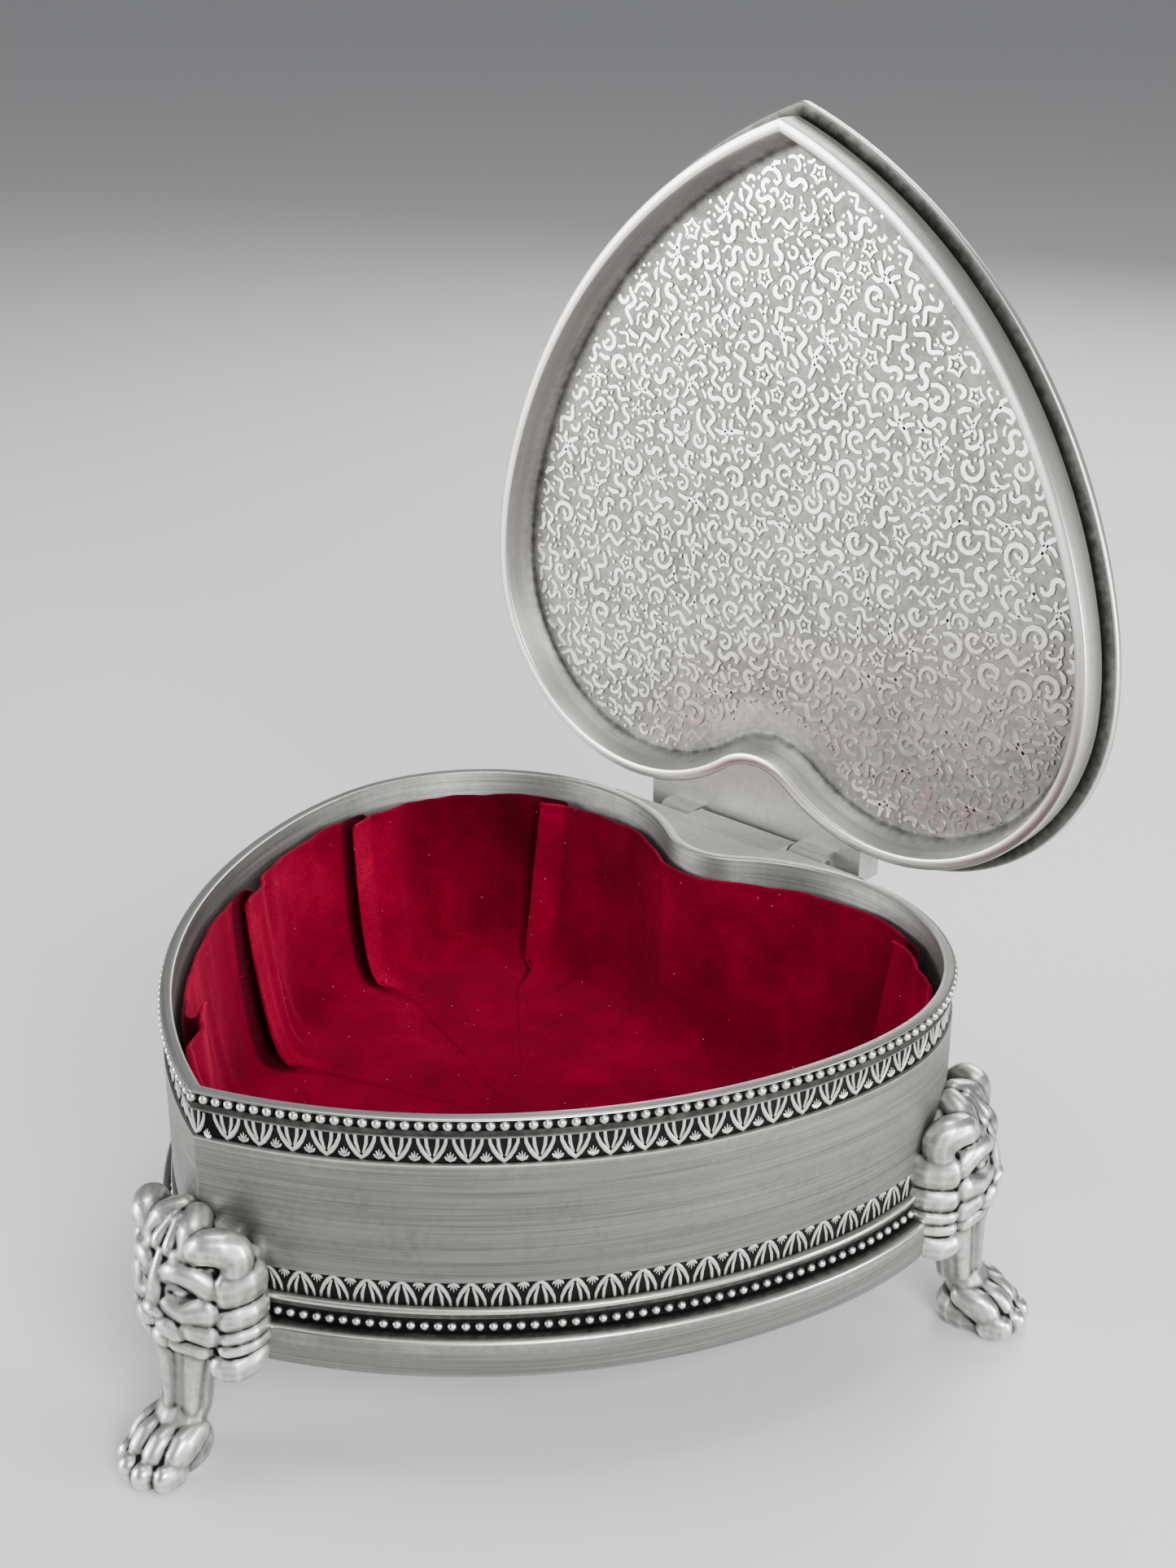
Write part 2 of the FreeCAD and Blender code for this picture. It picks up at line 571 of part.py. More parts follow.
def spur_on_axis(teeth, pitch_radius, x, y, z, bore, phase):
    """A spur gear with its axis along X; phase is measured from +Y towards +Z."""
    disc = gear_disc(teeth, pitch_radius, GEAR_WIDE, bore)
    disc.rotate(vec(0, 0, 0), vec(0, 0, 1), 90)
    disc.rotate(vec(0, 0, 0), vec(0, 1, 0), 90)
    disc.rotate(vec(0, 0, 0), vec(1, 0, 0), phase)
    disc.translate(vec(x, y, z))
    return disc


def spiral_band(r0, r1, turns, thick, z0, z1):
    """A flat coiled strip made of half-circle steps."""
    halves = 2 * turns
    step = (r1 - r0) / halves

    def line(shift):
        edges = []
        for i in range(halves):
            a = r0 + shift + i * step
            b = a + step
            sign = 1 if i % 2 == 0 else -1
            start = vec(sign * a, 0, z0)
            end = vec(-sign * b, 0, z0)
            centre_x = (start.x + end.x) / 2
            mid = vec(centre_x, sign * (a + b) / 2, z0)
            edges.append(Part.Arc(start, mid, end).toShape())
        return edges

    inner = line(0.0)
    outer = line(thick)
    caps = [Part.LineSegment(vec(r0, 0, z0), vec(r0 + thick, 0, z0)).toShape(),
            Part.LineSegment(vec(r1, 0, z0), vec(r1 + thick, 0, z0)).toShape()]
    wire = Part.Wire(Part.__sortEdges__(inner + outer + caps))
    return Part.Face(wire).extrude(vec(0, 0, z1 - z0))


# ---------------------------------------------------------------- movement
SCREW_INSET = 3.2
MOVEMENT_SCREWS = [(BED_LONG / 2 - SCREW_INSET, -BED_WIDE / 2 + SCREW_INSET),
                   (-BED_LONG / 2 + SCREW_INSET, -BED_WIDE / 2 + SCREW_INSET)]
LEVER_X = BED_LONG / 2 - LEVER_EDGE_GAP
STOP_SLOT = (LEVER_X - LEVER_WIDE, LEVER_X + LEVER_WIDE * LEVER_SWING,
             WORM_Y - LEVER_THICK / 2 - SIDE_PLAY, WORM_Y + LEVER_THICK / 2 + SIDE_PLAY)


def build_bedplate():
    half_x, half_y = BED_LONG / 2, BED_WIDE / 2
    plate = round_box(-half_x, half_x, -half_y, half_y, 0, BED_THICK, BED_ROUND)
    cuts = [rod(ARBOR_RADIUS + RUN_FIT, BED_THICK + 2, BARREL_X, AXIS_Y, -1),
            box(*STOP_SLOT, -1, BED_THICK + 1)]
    for x, y in MOVEMENT_SCREWS:
        cuts.append(rod(SCREW_RADIUS, BED_THICK + 2, x, y, -1))
    keep("movement_bedplate", movement_place(plate.cut(cuts)))
    screws = []
    for x, y in MOVEMENT_SCREWS:
        head = rod(SCREW_HEAD_RADIUS, SCREW_HEAD, x, y, -FLOOR_THICK - SCREW_HEAD)
        slot = screw_slot(x, y, -FLOOR_THICK - SCREW_HEAD, -FLOOR_THICK - SCREW_HEAD / 2)
        stem = rod(SCREW_RADIUS, FLOOR_THICK + BED_THICK, x, y, -FLOOR_THICK)
        screws.append(head.cut(slot).fuse(stem))
    keep("movement_screws", movement_place(Part.makeCompound(screws)))


def crown_teeth(z_root, z_tip):
    """Radial teeth standing on the barrel's rim, in the barrel's own frame."""
    pitch = 2 * math.pi * CROWN_RADIUS / CROWN_TEETH
    wide_root = pitch * TOOTH_SHARE * ROOT_SHARE
    wide_tip = pitch * TOOTH_SHARE * TIP_SHARE
    inner = CROWN_RADIUS - BARREL_EDGE
    outer = CROWN_RADIUS + BARREL_EDGE
    corners = [(-wide_root, z_root - 0.1), (wide_root, z_root - 0.1),
               (wide_tip, z_tip), (-wide_tip, z_tip)]
    loop = [vec(inner, y, z) for y, z in corners]
    tooth = Part.Face(Part.makePolygon(loop + [loop[0]])).extrude(vec(outer - inner, 0, 0))
    teeth = []
    for i in range(CROWN_TEETH):
        copy = tooth.copy()
        copy.rotate(vec(0, 0, 0), vec(0, 0, 1), (i + 0.5) * 360.0 / CROWN_TEETH)
        teeth.append(copy)
    return teeth


def build_barrel():
    module = 2 * CYL_PINION_RADIUS / CYL_PINION_TEETH
    z0 = BED_THICK + BARREL_FLOOR_GAP
    z_root = CROWN_Z - DEDENDUM * module
    z_tip = CROWN_Z + ADDENDUM * module
    outer = CROWN_RADIUS + BARREL_EDGE
    cup = rod(outer, z_root - z0, 0, 0, z0)
    cup = cup.cut(rod(outer - 2 * BARREL_EDGE, z_root - z0, 0, 0, z0 + BARREL_WALL))
    cup = cup.cut(rod(ARBOR_RADIUS + RUN_FIT, 20, 0, 0, -5))
    barrel = cup.fuse(crown_teeth(z_root, z_tip))
    barrel.translate(vec(BARREL_X, AXIS_Y, 0))
    keep("spring_barrel", movement_place(barrel))
    inside = outer - 2 * BARREL_EDGE
    spring = spiral_band(ARBOR_HUB + HUB_GAP, inside - SPRING_THICK - SPRING_GAP, SPRING_TURNS,
                         SPRING_THICK, z0 + BARREL_WALL + SPRING_GAP, z_root - 3 * SPRING_GAP)
    spring.translate(vec(BARREL_X, AXIS_Y, 0))
    keep("mainspring", movement_place(spring))
    key_top = -(FLOOR_THICK + KEY_DROP)
    low = key_top - KEY_HUB_HIGH + KEY_END
    hub_low = z0 + BARREL_WALL + SPRING_GAP
    shaft = rod(ARBOR_RADIUS, z_root + 4 * SPRING_GAP - low, BARREL_X, AXIS_Y, low)
    hub = rod(ARBOR_HUB, z_root - 3 * SPRING_GAP - hub_low, BARREL_X, AXIS_Y, hub_low)
    keep("winding_arbor", movement_place(shaft.fuse(hub)))
    build_ratchet()
    build_key(key_top)


def build_ratchet():
    z0 = BED_THICK + (BARREL_FLOOR_GAP - RATCHET_THICK) / 2
    points = []
    step = 2 * math.pi / RATCHET_TEETH
    for i in range(RATCHET_TEETH):
        points.append((RATCHET_RADIUS * math.cos(i * step), RATCHET_RADIUS * math.sin(i * step)))
        low = RATCHET_RADIUS - RATCHET_TOOTH
        turn = i * step + RATCHET_UNDERCUT
        points.append((low * math.cos(turn), low * math.sin(turn)))
    wheel = prism(points, z0, z0 + RATCHET_THICK).cut(rod(ARBOR_RADIUS, 20, 0, 0, -5))
    wheel.translate(vec(BARREL_X, AXIS_Y, 0))
    keep("ratchet_wheel", movement_place(wheel))
    y0 = AXIS_Y + RATCHET_RADIUS + CLICK_GAP
    click = box(BARREL_X - CLICK_BACK, BARREL_X + CLICK_FRONT, y0, y0 + CLICK_WIDE,
                BED_THICK, BED_THICK + RATCHET_THICK)
    foot = rod(CLICK_FOOT_RADIUS, RATCHET_THICK, BARREL_X - CLICK_BACK, y0 + CLICK_WIDE / 2, BED_THICK)
    keep("ratchet_click", movement_place(click.fuse(foot)))


def build_key(key_top):
    hub = rod(KEY_HUB_RADIUS, KEY_HUB_HIGH, BARREL_X, AXIS_Y, key_top - KEY_HUB_HIGH)
    top = key_top - KEY_HUB_HIGH / 2
    wing = box(BARREL_X - KEY_WING_HALF, BARREL_X + KEY_WING_HALF, AXIS_Y - KEY_WING_THICK / 2,
               AXIS_Y + KEY_WING_THICK / 2, top - KEY_WING_HIGH, top)
    upright = [e for e in wing.Edges
               if abs(e.Vertexes[0].Y - e.Vertexes[1].Y) > KEY_WING_THICK / 2]
    wing = wing.makeFillet(KEY_WING_HIGH * KEY_WING_ROUND, upright)
    bore = rod(ARBOR_RADIUS, KEY_HUB_HIGH, BARREL_X, AXIS_Y, key_top - KEY_HUB_HIGH + KEY_END)
    keep("winding_key", movement_place(hub.fuse(wing).cut(bore)))


def build_cylinder():
    start = PINION_X - GEAR_WIDE - CYL_ARBOR_RADIUS
    length = RIGHT_BRACKET_X + BRACKET_THICK - start
    arbor = rod(CYL_ARBOR_RADIUS, length, start, AXIS_Y, AXIS_UP, (1, 0, 0))
    keep("cylinder_arbor", movement_place(arbor))
    drum = rod(DRUM_RADIUS, DRUM_LONG, DRUM_START, AXIS_Y, AXIS_UP, (1, 0, 0))
    pins = []
    pitch = DRUM_LONG / NOTES
    for note in range(NOTES):
        x = DRUM_START + (note + 0.5) * pitch
        for beat in range(PINS_PER_NOTE):
            turn = math.radians(note * PIN_NOTE_TURN + beat * PIN_BEAT_TURN)
            way = (0, math.cos(turn), math.sin(turn))
            reach = DRUM_RADIUS - PIN_ROOT
            pins.append(rod(PIN_RADIUS, PIN_HIGH + PIN_ROOT, x, AXIS_Y + reach * way[1],
                            AXIS_UP + reach * way[2], way))
    drum = drum.fuse(pins)
    drum = drum.cut(rod(CYL_ARBOR_RADIUS, DRUM_LONG + 4, DRUM_START - 2, AXIS_Y, AXIS_UP, (1, 0, 0)))
    keep("music_cylinder", movement_place(drum))
    pinion = spur_on_axis(CYL_PINION_TEETH, CYL_PINION_RADIUS, PINION_X - GEAR_WIDE / 2, AXIS_Y,
                          AXIS_UP, CYL_ARBOR_RADIUS, -90)
    keep("cylinder_pinion", movement_place(pinion))
    great = spur_on_axis(GREAT_TEETH, GREAT_RADIUS, GREAT_X, AXIS_Y, AXIS_UP, CYL_ARBOR_RADIUS, 0)
    keep("great_gear", movement_place(great))


def bracket(x, y, hole, wide):
    """Upright plate with a bearing hole and a foot on the bedplate."""
    top = AXIS_UP + BRACKET_OVER
    plate = box(x, x + BRACKET_THICK, y - wide / 2, y + wide / 2, BED_THICK, top)
    return plate.cut(rod(hole + RUN_FIT, BRACKET_THICK + 2, x - 1, y, AXIS_UP, (1, 0, 0)))


def build_brackets():
    keep("left_bracket", movement_place(bracket(LEFT_BRACKET_X, AXIS_Y, CYL_ARBOR_RADIUS, BRACKET_WIDE)))
    keep("right_bracket", movement_place(bracket(RIGHT_BRACKET_X, AXIS_Y, CYL_ARBOR_RADIUS, BRACKET_WIDE)))


def build_comb():
    tip = AXIS_Y - DRUM_RADIUS - PIN_HIGH - COMB_TIP_GAP
    root = tip - COMB_TOOTH_LONG
    back = root - COMB_BASE
    plate = box(DRUM_START, DRUM_END, back, tip, AXIS_UP - COMB_THICK / 2, AXIS_UP + COMB_THICK / 2)
    pitch = DRUM_LONG / NOTES
    cuts = []
    for i in range(1, NOTES):
        x = DRUM_START + i * pitch
        cuts.append(box(x - COMB_SLOT / 2, x + COMB_SLOT / 2, root + i * COMB_TUNING, tip + 1,
                        AXIS_UP - 2, AXIS_UP + 2))
    holes = []
    for share in (COMB_SCREW_SHARE, 1 - COMB_SCREW_SHARE):
        holes.append((DRUM_START + share * DRUM_LONG, (root + back) / 2))
    low = AXIS_UP - COMB_THICK / 2
    for x, y in holes:
        cuts.append(rod(SCREW_RADIUS + SCREW_CLEAR, 4, x, y, AXIS_UP - 2))
    keep("comb", movement_place(plate.cut(cuts)))
    block = box(DRUM_START - COMB_BLOCK_EDGE, DRUM_END + COMB_BLOCK_EDGE, back, root - COMB_BLOCK_EDGE,
                BED_THICK, low)
    block = block.cut([rod(SCREW_RADIUS, 3.5, x, y, low - 3) for x, y in holes])
    keep("comb_block", movement_place(block))
    screws = []
    top = AXIS_UP + COMB_THICK / 2
    for x, y in holes:
        head = rod(SCREW_HEAD_RADIUS, SCREW_HEAD, x, y, top)
        slot = screw_slot(x, y, top + SCREW_HEAD / 2, top + SCREW_HEAD)
        stem = rod(SCREW_RADIUS, 3 + COMB_THICK - 0.2, x, y, low - 2.8)
        screws.append(head.cut(slot).fuse(stem))
    keep("comb_screws", movement_place(Part.makeCompound(screws)))


def worm_thread(z0, z1):
    """Helical thread on the Z axis, as a swept solid."""
    root = WORM_RADIUS - THREAD_DEEP
    tip = WORM_RADIUS + THREAD_HIGH
    helix = Part.makeHelix(WORM_LEAD, z1 - z0, root)
    helix.translate(vec(0, 0, z0))
    half = WORM_LEAD * TOOTH_SHARE / 2
    corners = [(root - 0.1, -half), (tip, -half * 0.55), (tip, half * 0.55), (root - 0.1, half)]
    loop = [vec(x, 0, z0 + z) for x, z in corners]
    profile = Part.makePolygon(loop + [loop[0]])
    return Part.Wire(helix.Edges).makePipeShell([profile], True, True)


def build_governor():
    x0 = WORM_X - GOV_ARBOR_BACK
    length = RIGHT_BRACKET_X + BRACKET_THICK - x0
    arbor = rod(CYL_ARBOR_RADIUS, length, x0, GOV_Y, AXIS_UP, (1, 0, 0))
    keep("governor_arbor", movement_place(arbor))
    # a gap of the pinion faces the great gear's tooth
    half_step = 180.0 / GOV_PINION_TEETH
    pinion = spur_on_axis(GOV_PINION_TEETH, GOV_PINION_RADIUS, GREAT_X, GOV_Y, AXIS_UP,
                          CYL_ARBOR_RADIUS, 180 + half_step)
    keep("governor_pinion", movement_place(pinion))
    wheel = spur_on_axis(WORM_WHEEL_TEETH, WORM_WHEEL_RADIUS, WORM_X - GEAR_WIDE / 2, GOV_Y, AXIS_UP,
                         CYL_ARBOR_RADIUS, 0)
    keep("worm_wheel", movement_place(wheel))
    core = WORM_RADIUS - THREAD_DEEP
    low = AXIS_UP - WORM_LONG / 2
    top = FLY_Z + FLY_HIGH + SIDE_PLAY
    base = BED_THICK + 2 * PIVOT_LONG
    shaft = rod(core, top - base, WORM_X, WORM_Y, base)
    pivots = rod(PIVOT_RADIUS, top - BED_THICK, WORM_X, WORM_Y, BED_THICK + PIVOT_LONG)
    thread = worm_thread(low, low + WORM_LONG)
    # a gap of the thread faces the worm wheel's tooth
    phase = 270.0 - 360.0 * (WORM_LONG / 2 / WORM_LEAD + 0.5)
    thread.rotate(vec(0, 0, 0), vec(0, 0, 1), phase)
    thread.translate(vec(WORM_X, WORM_Y, 0))
    keep("worm_shaft", movement_place(shaft.fuse([pivots, thread])))
    wings = box(-FLY_RADIUS, FLY_RADIUS, -FLY_THICK / 2, FLY_THICK / 2, FLY_Z, FLY_Z + FLY_HIGH)
    collar = rod(core + FLY_COLLAR, FLY_HIGH, 0, 0, FLY_Z)
    fly = wings.fuse(collar).cut(rod(core, 40, 0, 0, -5))
    fly.translate(vec(WORM_X, WORM_Y, 0))
    keep("air_fly", movement_place(fly))
    build_governor_frame(top + LEVER_POST_GAP)


def build_governor_frame(arm_z):
    """C-shaped frame: foot, column, top arm over the fly and an ear for the arbor."""
    inner_x = WORM_X - FLY_RADIUS - FRAME_FLY_GAP
    back_x, front_x = inner_x - BRACKET_THICK, WORM_X + FRAME_HALF
    low_y, high_y = WORM_Y - FRAME_HALF, WORM_Y + FRAME_HALF
    post = box(back_x, inner_x, GOV_Y - FRAME_HALF, high_y, BED_THICK, arm_z + FRAME_PLATE)
    arm = box(back_x, front_x, low_y, high_y, arm_z, arm_z + FRAME_PLATE)
    foot = box(back_x, front_x, low_y, high_y, BED_THICK, BED_THICK + BRACKET_THICK)
    frame = post.fuse([arm, foot])
    cuts = [rod(PIVOT_RADIUS + RUN_FIT, 40, WORM_X, WORM_Y, -5),
            rod(CYL_ARBOR_RADIUS + RUN_FIT, 6, inner_x - 3, GOV_Y, AXIS_UP, (1, 0, 0))]
    keep("governor_frame", movement_place(frame.cut(cuts)))
    ear = bracket(RIGHT_BRACKET_X, GOV_Y, CYL_ARBOR_RADIUS, EAR_WIDE)
    keep("governor_ear", movement_place(ear))


def centre_shift():
    """Y move that puts the origin under the middle of the box with its lid open."""
    front = tip_y() - PAW_FRONT
    back = HINGE_BACK + LID_TOP + CROWN_RISE - HINGE_Z
    return -(front + back) / 2


def build_stop_lever():
    high = FLY_Z + FLY_HIGH - LEVER_TOP_GAP
    low = -(FLOOR_THICK + LEVER_TAIL)
    y0, y1 = WORM_Y - LEVER_THICK / 2, WORM_Y + LEVER_THICK / 2
    arm = box(LEVER_X - LEVER_WIDE / 2, LEVER_X + LEVER_WIDE / 2, y0, y1, low, high)
    boss = rod(CYL_ARBOR_RADIUS + LEVER_BOSS, LEVER_THICK, LEVER_X, y0, LEVER_PIVOT_UP, (0, 1, 0))
    bore = rod(CYL_ARBOR_RADIUS + RUN_FIT, LEVER_THICK + 2, LEVER_X, y0 - 1, LEVER_PIVOT_UP, (0, 1, 0))
    keep("stop_lever", movement_place(arm.fuse(boss).cut(bore)))
    post_y = y1 + SIDE_PLAY + LEVER_POST_GAP
    post = box(LEVER_X - LEVER_POST_HALF, LEVER_X + LEVER_POST_HALF, post_y, post_y + LEVER_POST_THICK,
               BED_THICK, LEVER_PIVOT_UP + LEVER_POST_OVER)
    length = post_y - y0 + SIDE_PLAY
    stud = rod(CYL_ARBOR_RADIUS, length, LEVER_X, y0 - SIDE_PLAY, LEVER_PIVOT_UP, (0, 1, 0))
    keep("lever_post", movement_place(post.fuse(stud)))


def main():
    os.makedirs("parts", exist_ok=True)
    build_body()
    build_floor()
    build_lining()
    build_legs()
    build_lid()
    build_bedplate()
    build_barrel()
    build_cylinder()
    build_brackets()
    build_comb()
    build_governor()
    build_stop_lever()
    shift = vec(0, centre_shift(), 0)
    for name, shape in NODES.items():
        shape.translate(shift)
        shape.exportStep("parts/%s.step" % name)
        print("%-20s solids %2d volume %9.2f valid %s" % (
            name, len(shape.Solids), shape.Volume, shape.isValid()))


main()
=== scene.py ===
"""Looks of a heart-shaped wind-up music box: brushed and antiqued cast metal with
bead rows and leaf bands, an embossed lid, lion-paw legs and a pleated velvet lining."""
import bpy
import bmesh
import math
import random
import numpy as np
from mathutils import Matrix, Vector
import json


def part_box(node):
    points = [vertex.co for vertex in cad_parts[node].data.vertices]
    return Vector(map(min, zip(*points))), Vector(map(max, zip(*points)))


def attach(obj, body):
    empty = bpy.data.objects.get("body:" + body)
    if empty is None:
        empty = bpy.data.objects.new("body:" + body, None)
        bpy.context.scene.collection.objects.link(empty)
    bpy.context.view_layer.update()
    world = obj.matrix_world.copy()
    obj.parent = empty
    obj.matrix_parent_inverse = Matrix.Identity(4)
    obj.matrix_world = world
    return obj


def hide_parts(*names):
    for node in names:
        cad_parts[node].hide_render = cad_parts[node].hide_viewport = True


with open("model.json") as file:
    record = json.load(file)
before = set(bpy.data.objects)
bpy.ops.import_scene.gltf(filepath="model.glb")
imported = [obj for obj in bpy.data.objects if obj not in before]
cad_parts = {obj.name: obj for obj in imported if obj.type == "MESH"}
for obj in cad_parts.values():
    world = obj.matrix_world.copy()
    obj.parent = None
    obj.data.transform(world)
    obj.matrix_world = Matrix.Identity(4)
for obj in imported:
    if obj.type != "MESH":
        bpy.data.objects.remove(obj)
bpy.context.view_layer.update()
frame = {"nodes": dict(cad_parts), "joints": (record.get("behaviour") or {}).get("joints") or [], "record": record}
MM = 0.001

# ------------------------------------------------------------ sizes, millimetres
HALF_WIDTH = 70.0
TIP_REACH = 93.0
LOBE_RADIUS = 39.0
CLEFT_REACH = 28.5
SHOULDER_TURN = math.radians(13.3)
TIP_ROUND = 1.1
WALL = 2.1
BODY_HEIGHT = 46.0
HINGE_BACK = 42.7
KNUCKLE_RADIUS = 2.2
LID_SEAT_GAP = 0.2
LEG_TURN = math.radians(24.0)
VELVET_INSET = 3.5
VELVET_DROP = 4.4
BEAD_PITCH = 2.17
LEAF_PITCH = 5.5
LEAF_HEIGHT = 4.35
RIB_FLATNESS = 0.75
CAP_POLE_FORWARD = 14.0         # where the lid's rows of faces meet
CAP_STEPS = 12                  # rows from the rim to there

HINGE = [v / MM for v in next(j for j in frame["joints"] if j["name"] == "lid_hinge")["pos_m"]]
WIDEST_Y = HINGE[1] - HINGE_BACK          # the heart's widest line
RIM_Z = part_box("body_shell")[1][2] / MM
FLOOR_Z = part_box("floor_board")[1][2] / MM + 1.0
LID_Z = RIM_Z + LID_SEAT_GAP


# ------------------------------------------------------------ heart outline
LOBE_X = HALF_WIDTH - LOBE_RADIUS
CLEFT_RADIUS = (LOBE_X ** 2 + CLEFT_REACH ** 2 - LOBE_RADIUS ** 2) / (
    2 * (LOBE_RADIUS - CLEFT_REACH))
CLEFT_Y = CLEFT_REACH + CLEFT_RADIUS


def side_arc():
    nx, ny = math.cos(SHOULDER_TURN), -math.sin(SHOULDER_TURN)
    px, py = HALF_WIDTH * nx, HALF_WIDTH * ny
    down = py + TIP_REACH
    radius = (px * px + down * down) / (2 * (nx * px + ny * down))
    return px - radius * nx, py - radius * ny, radius


SIDE_X, SIDE_Y, SIDE_RADIUS = side_arc()


def arc(cx, cy, radius, start, end, count):
    turn = np.linspace(start, end, count + 1)[:-1]
    return np.stack([cx + radius * np.cos(turn), cy + radius * np.sin(turn)], 1)


def heart(grow=0.0, fine=1):
    """Closed outline moved outwards by grow, from the point, right side first.

    Every grow gives the same number of points, so outlines loft into each other.
    """
    tip = max(0.12, TIP_ROUND + grow)
    long_side = SIDE_RADIUS + grow
    tip_y = SIDE_Y - math.sqrt((long_side - tip) ** 2 - SIDE_X ** 2)
    tip_turn = math.atan2(tip_y - SIDE_Y, -SIDE_X)
    reach = math.hypot(LOBE_X, CLEFT_Y)
    lobe_end = math.atan2(CLEFT_Y / reach, -LOBE_X / reach)
    cleft_start = lobe_end + math.pi
    right = [
        arc(0, tip_y, tip, -math.pi / 2, tip_turn, 3 * fine),
        arc(SIDE_X, SIDE_Y, long_side, tip_turn, -SHOULDER_TURN, 34 * fine),
        arc(0, 0, HALF_WIDTH + grow, -SHOULDER_TURN, 0, 6 * fine),
        arc(LOBE_X, 0, LOBE_RADIUS + grow, 0, lobe_end, 36 * fine),
        arc(0, CLEFT_Y, CLEFT_RADIUS - grow, cleft_start, 1.5 * math.pi, 7 * fine),
    ]
    half = np.concatenate(right)
    top = np.array([[0, CLEFT_Y - (CLEFT_RADIUS - grow)]])
    left = half[1:][::-1] * [-1, 1]
    return np.concatenate([half, top, left])


def path_lengths(points):
    step = np.linalg.norm(np.roll(points, -1, 0) - points, axis=1)
    return np.concatenate([[0], np.cumsum(step)])


# ------------------------------------------------------------ mesh helpers
def new_object(name, verts, faces, wear_and_shade=None, uv=None, sharp=35):
    """Mesh from millimetre vertices; wear_and_shade is 0 in a dark recess and 1 on a bright edge: patina and worn
    metal on the pewter, painted shade and painted highlight on the velvet.
    """
    mesh = bpy.data.meshes.new(name)
    mesh.from_pydata([tuple(float(c) * MM for c in v) for v in verts], [], faces)
    mesh.validate()
    if wear_and_shade is not None:
        mark_wear_and_shade(mesh, wear_and_shade)
    if uv is not None:
        layer = mesh.uv_layers.new(name="path")
        corners = np.empty(len(mesh.loops), dtype=np.int64)
        mesh.loops.foreach_get("vertex_index", corners)
        layer.data.foreach_set("uv", np.asarray(uv, dtype=np.float32)[corners].ravel())
    smooth(mesh, sharp)
    return link(bpy.data.objects.new(name, mesh))


def mark_wear_and_shade(mesh, wear_and_shade):
    """Store how rubbed each point is, 0 in the hollows to 1 on the crests; on the velvet the same values are
    painted shade in the folds and painted highlight on the crests.
    """
    layer = mesh.attributes.new("wear_and_shade", "FLOAT", "POINT")
    layer.data.foreach_set("value", np.asarray(wear_and_shade, dtype=np.float32))


def link(obj):
    bpy.context.scene.collection.objects.link(obj)
    return obj


def smooth(mesh, sharp=35):
    mesh.polygons.foreach_set("use_smooth", [True] * len(mesh.polygons))
    mesh.set_sharp_from_angle(angle=math.radians(sharp))
    mesh.update()


def outward(obj):
    bm = bmesh.new()
    bm.from_mesh(obj.data)
    bmesh.ops.recalc_face_normals(bm, faces=bm.faces)
    bm.to_mesh(obj.data)
    bm.free()


def finish_piece(obj, material, body, slot, *replaced):
    obj.data.materials.clear()
    obj.data.materials.append(material)
    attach(obj, body)
    if replaced:
        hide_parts(*replaced)
    return obj


def loft(name, rings, wear_and_shade, closed=False, caps=(None, None), sharp=35):
    """Skin over heart-shaped rings [(grow, z)]; caps fan a ring in to a pole."""
    outlines = [(heart(grow), z) for grow, z in rings]
    verts, shade, uv = [], [], []
    along = path_lengths(outlines[0][0])[:-1]
    count = len(along)
    across = 0.0
    for i, (points, z) in enumerate(outlines):
        if i:
            before = rings[i - 1]
            across += math.hypot(rings[i][0] - before[0], rings[i][1] - before[1])
        verts += [(x, y + WIDEST_Y, z) for x, y in points]
        shade += [wear_and_shade[i]] * count
        uv += [(a * MM, across * MM) for a in along]
    faces = []
    total = len(outlines)
    for i in range(total if closed else total - 1):
        a, b = i * count, ((i + 1) % total) * count
        faces += strip_faces(a, b, count)
    for end, cap in zip((0, total - 1), caps):
        if cap:
            faces += fan_in(verts, shade, uv, end * count, count, cap, flip=(end == 0))
    return new_object(name, verts, faces, shade, uv, sharp)


def fan_in(verts, shade, uv, start, count, cap, flip):
    """Close a ring towards a pole in even steps; cap(x, y) gives height and wear."""
    pole_x, pole_y = 0.0, WIDEST_Y - CAP_POLE_FORWARD
    rim = verts[start:start + count]
    previous = start
    faces = []

    def put(x, y, z):
        dz, tone = cap(x, y - WIDEST_Y)
        verts.append((x, y, z + dz))
        shade.append(tone)
        uv.append((x * MM, y * MM))

    for i in range(1, CAP_STEPS):
        t = i / CAP_STEPS
        ring = len(verts)
        for x, y, z in rim:
            put(x + (pole_x - x) * t, y + (pole_y - y) * t, z)
        faces += strip_faces(previous, ring, count)
        previous = ring
    put(pole_x, pole_y, rim[0][2])
    faces += fan_faces(previous, count, len(verts) - 1)
    return [face[::-1] for face in faces] if flip else faces


def strip_faces(first, second, count):
    """Quads between two closed rings, told by where each starts."""
    return [(first + k, first + (k + 1) % count, second + (k + 1) % count, second + k)
            for k in range(count)]


def fan_faces(first, count, pole):
    """Triangles from a closed ring to one point."""
    return [(first + k, first + (k + 1) % count, pole) for k in range(count)]


def funnel_faces(rings, count):
    """Strips between closed rings of count points, then a fan to one last point."""
    faces = []
    for i in range(rings - 1):
        faces += strip_faces(i * count, (i + 1) * count, count)
    return faces + fan_faces((rings - 1) * count, count, rings * count)


def globe_faces(sides, rings):
    """Faces of a ball: a top point, rings of sides points each, a bottom point."""
    faces = []
    last = 1 + (rings - 1) * sides
    for k in range(sides):
        n = (k + 1) % sides
        faces.append((0, 1 + k, 1 + n))
        faces.append((last, last - sides + n, last - sides + k))
        for i in range(rings - 2):
            a = 1 + i * sides
            faces.append((a + k, a + sides + k, a + sides + n, a + n))
    return faces


def read_array(items, key, width, kind=float):
    """One property of every vertex or edge, as rows of numbers."""
    values = np.empty(len(items) * width, dtype=kind)
    items.foreach_get(key, values)
    return values.reshape(-1, width)


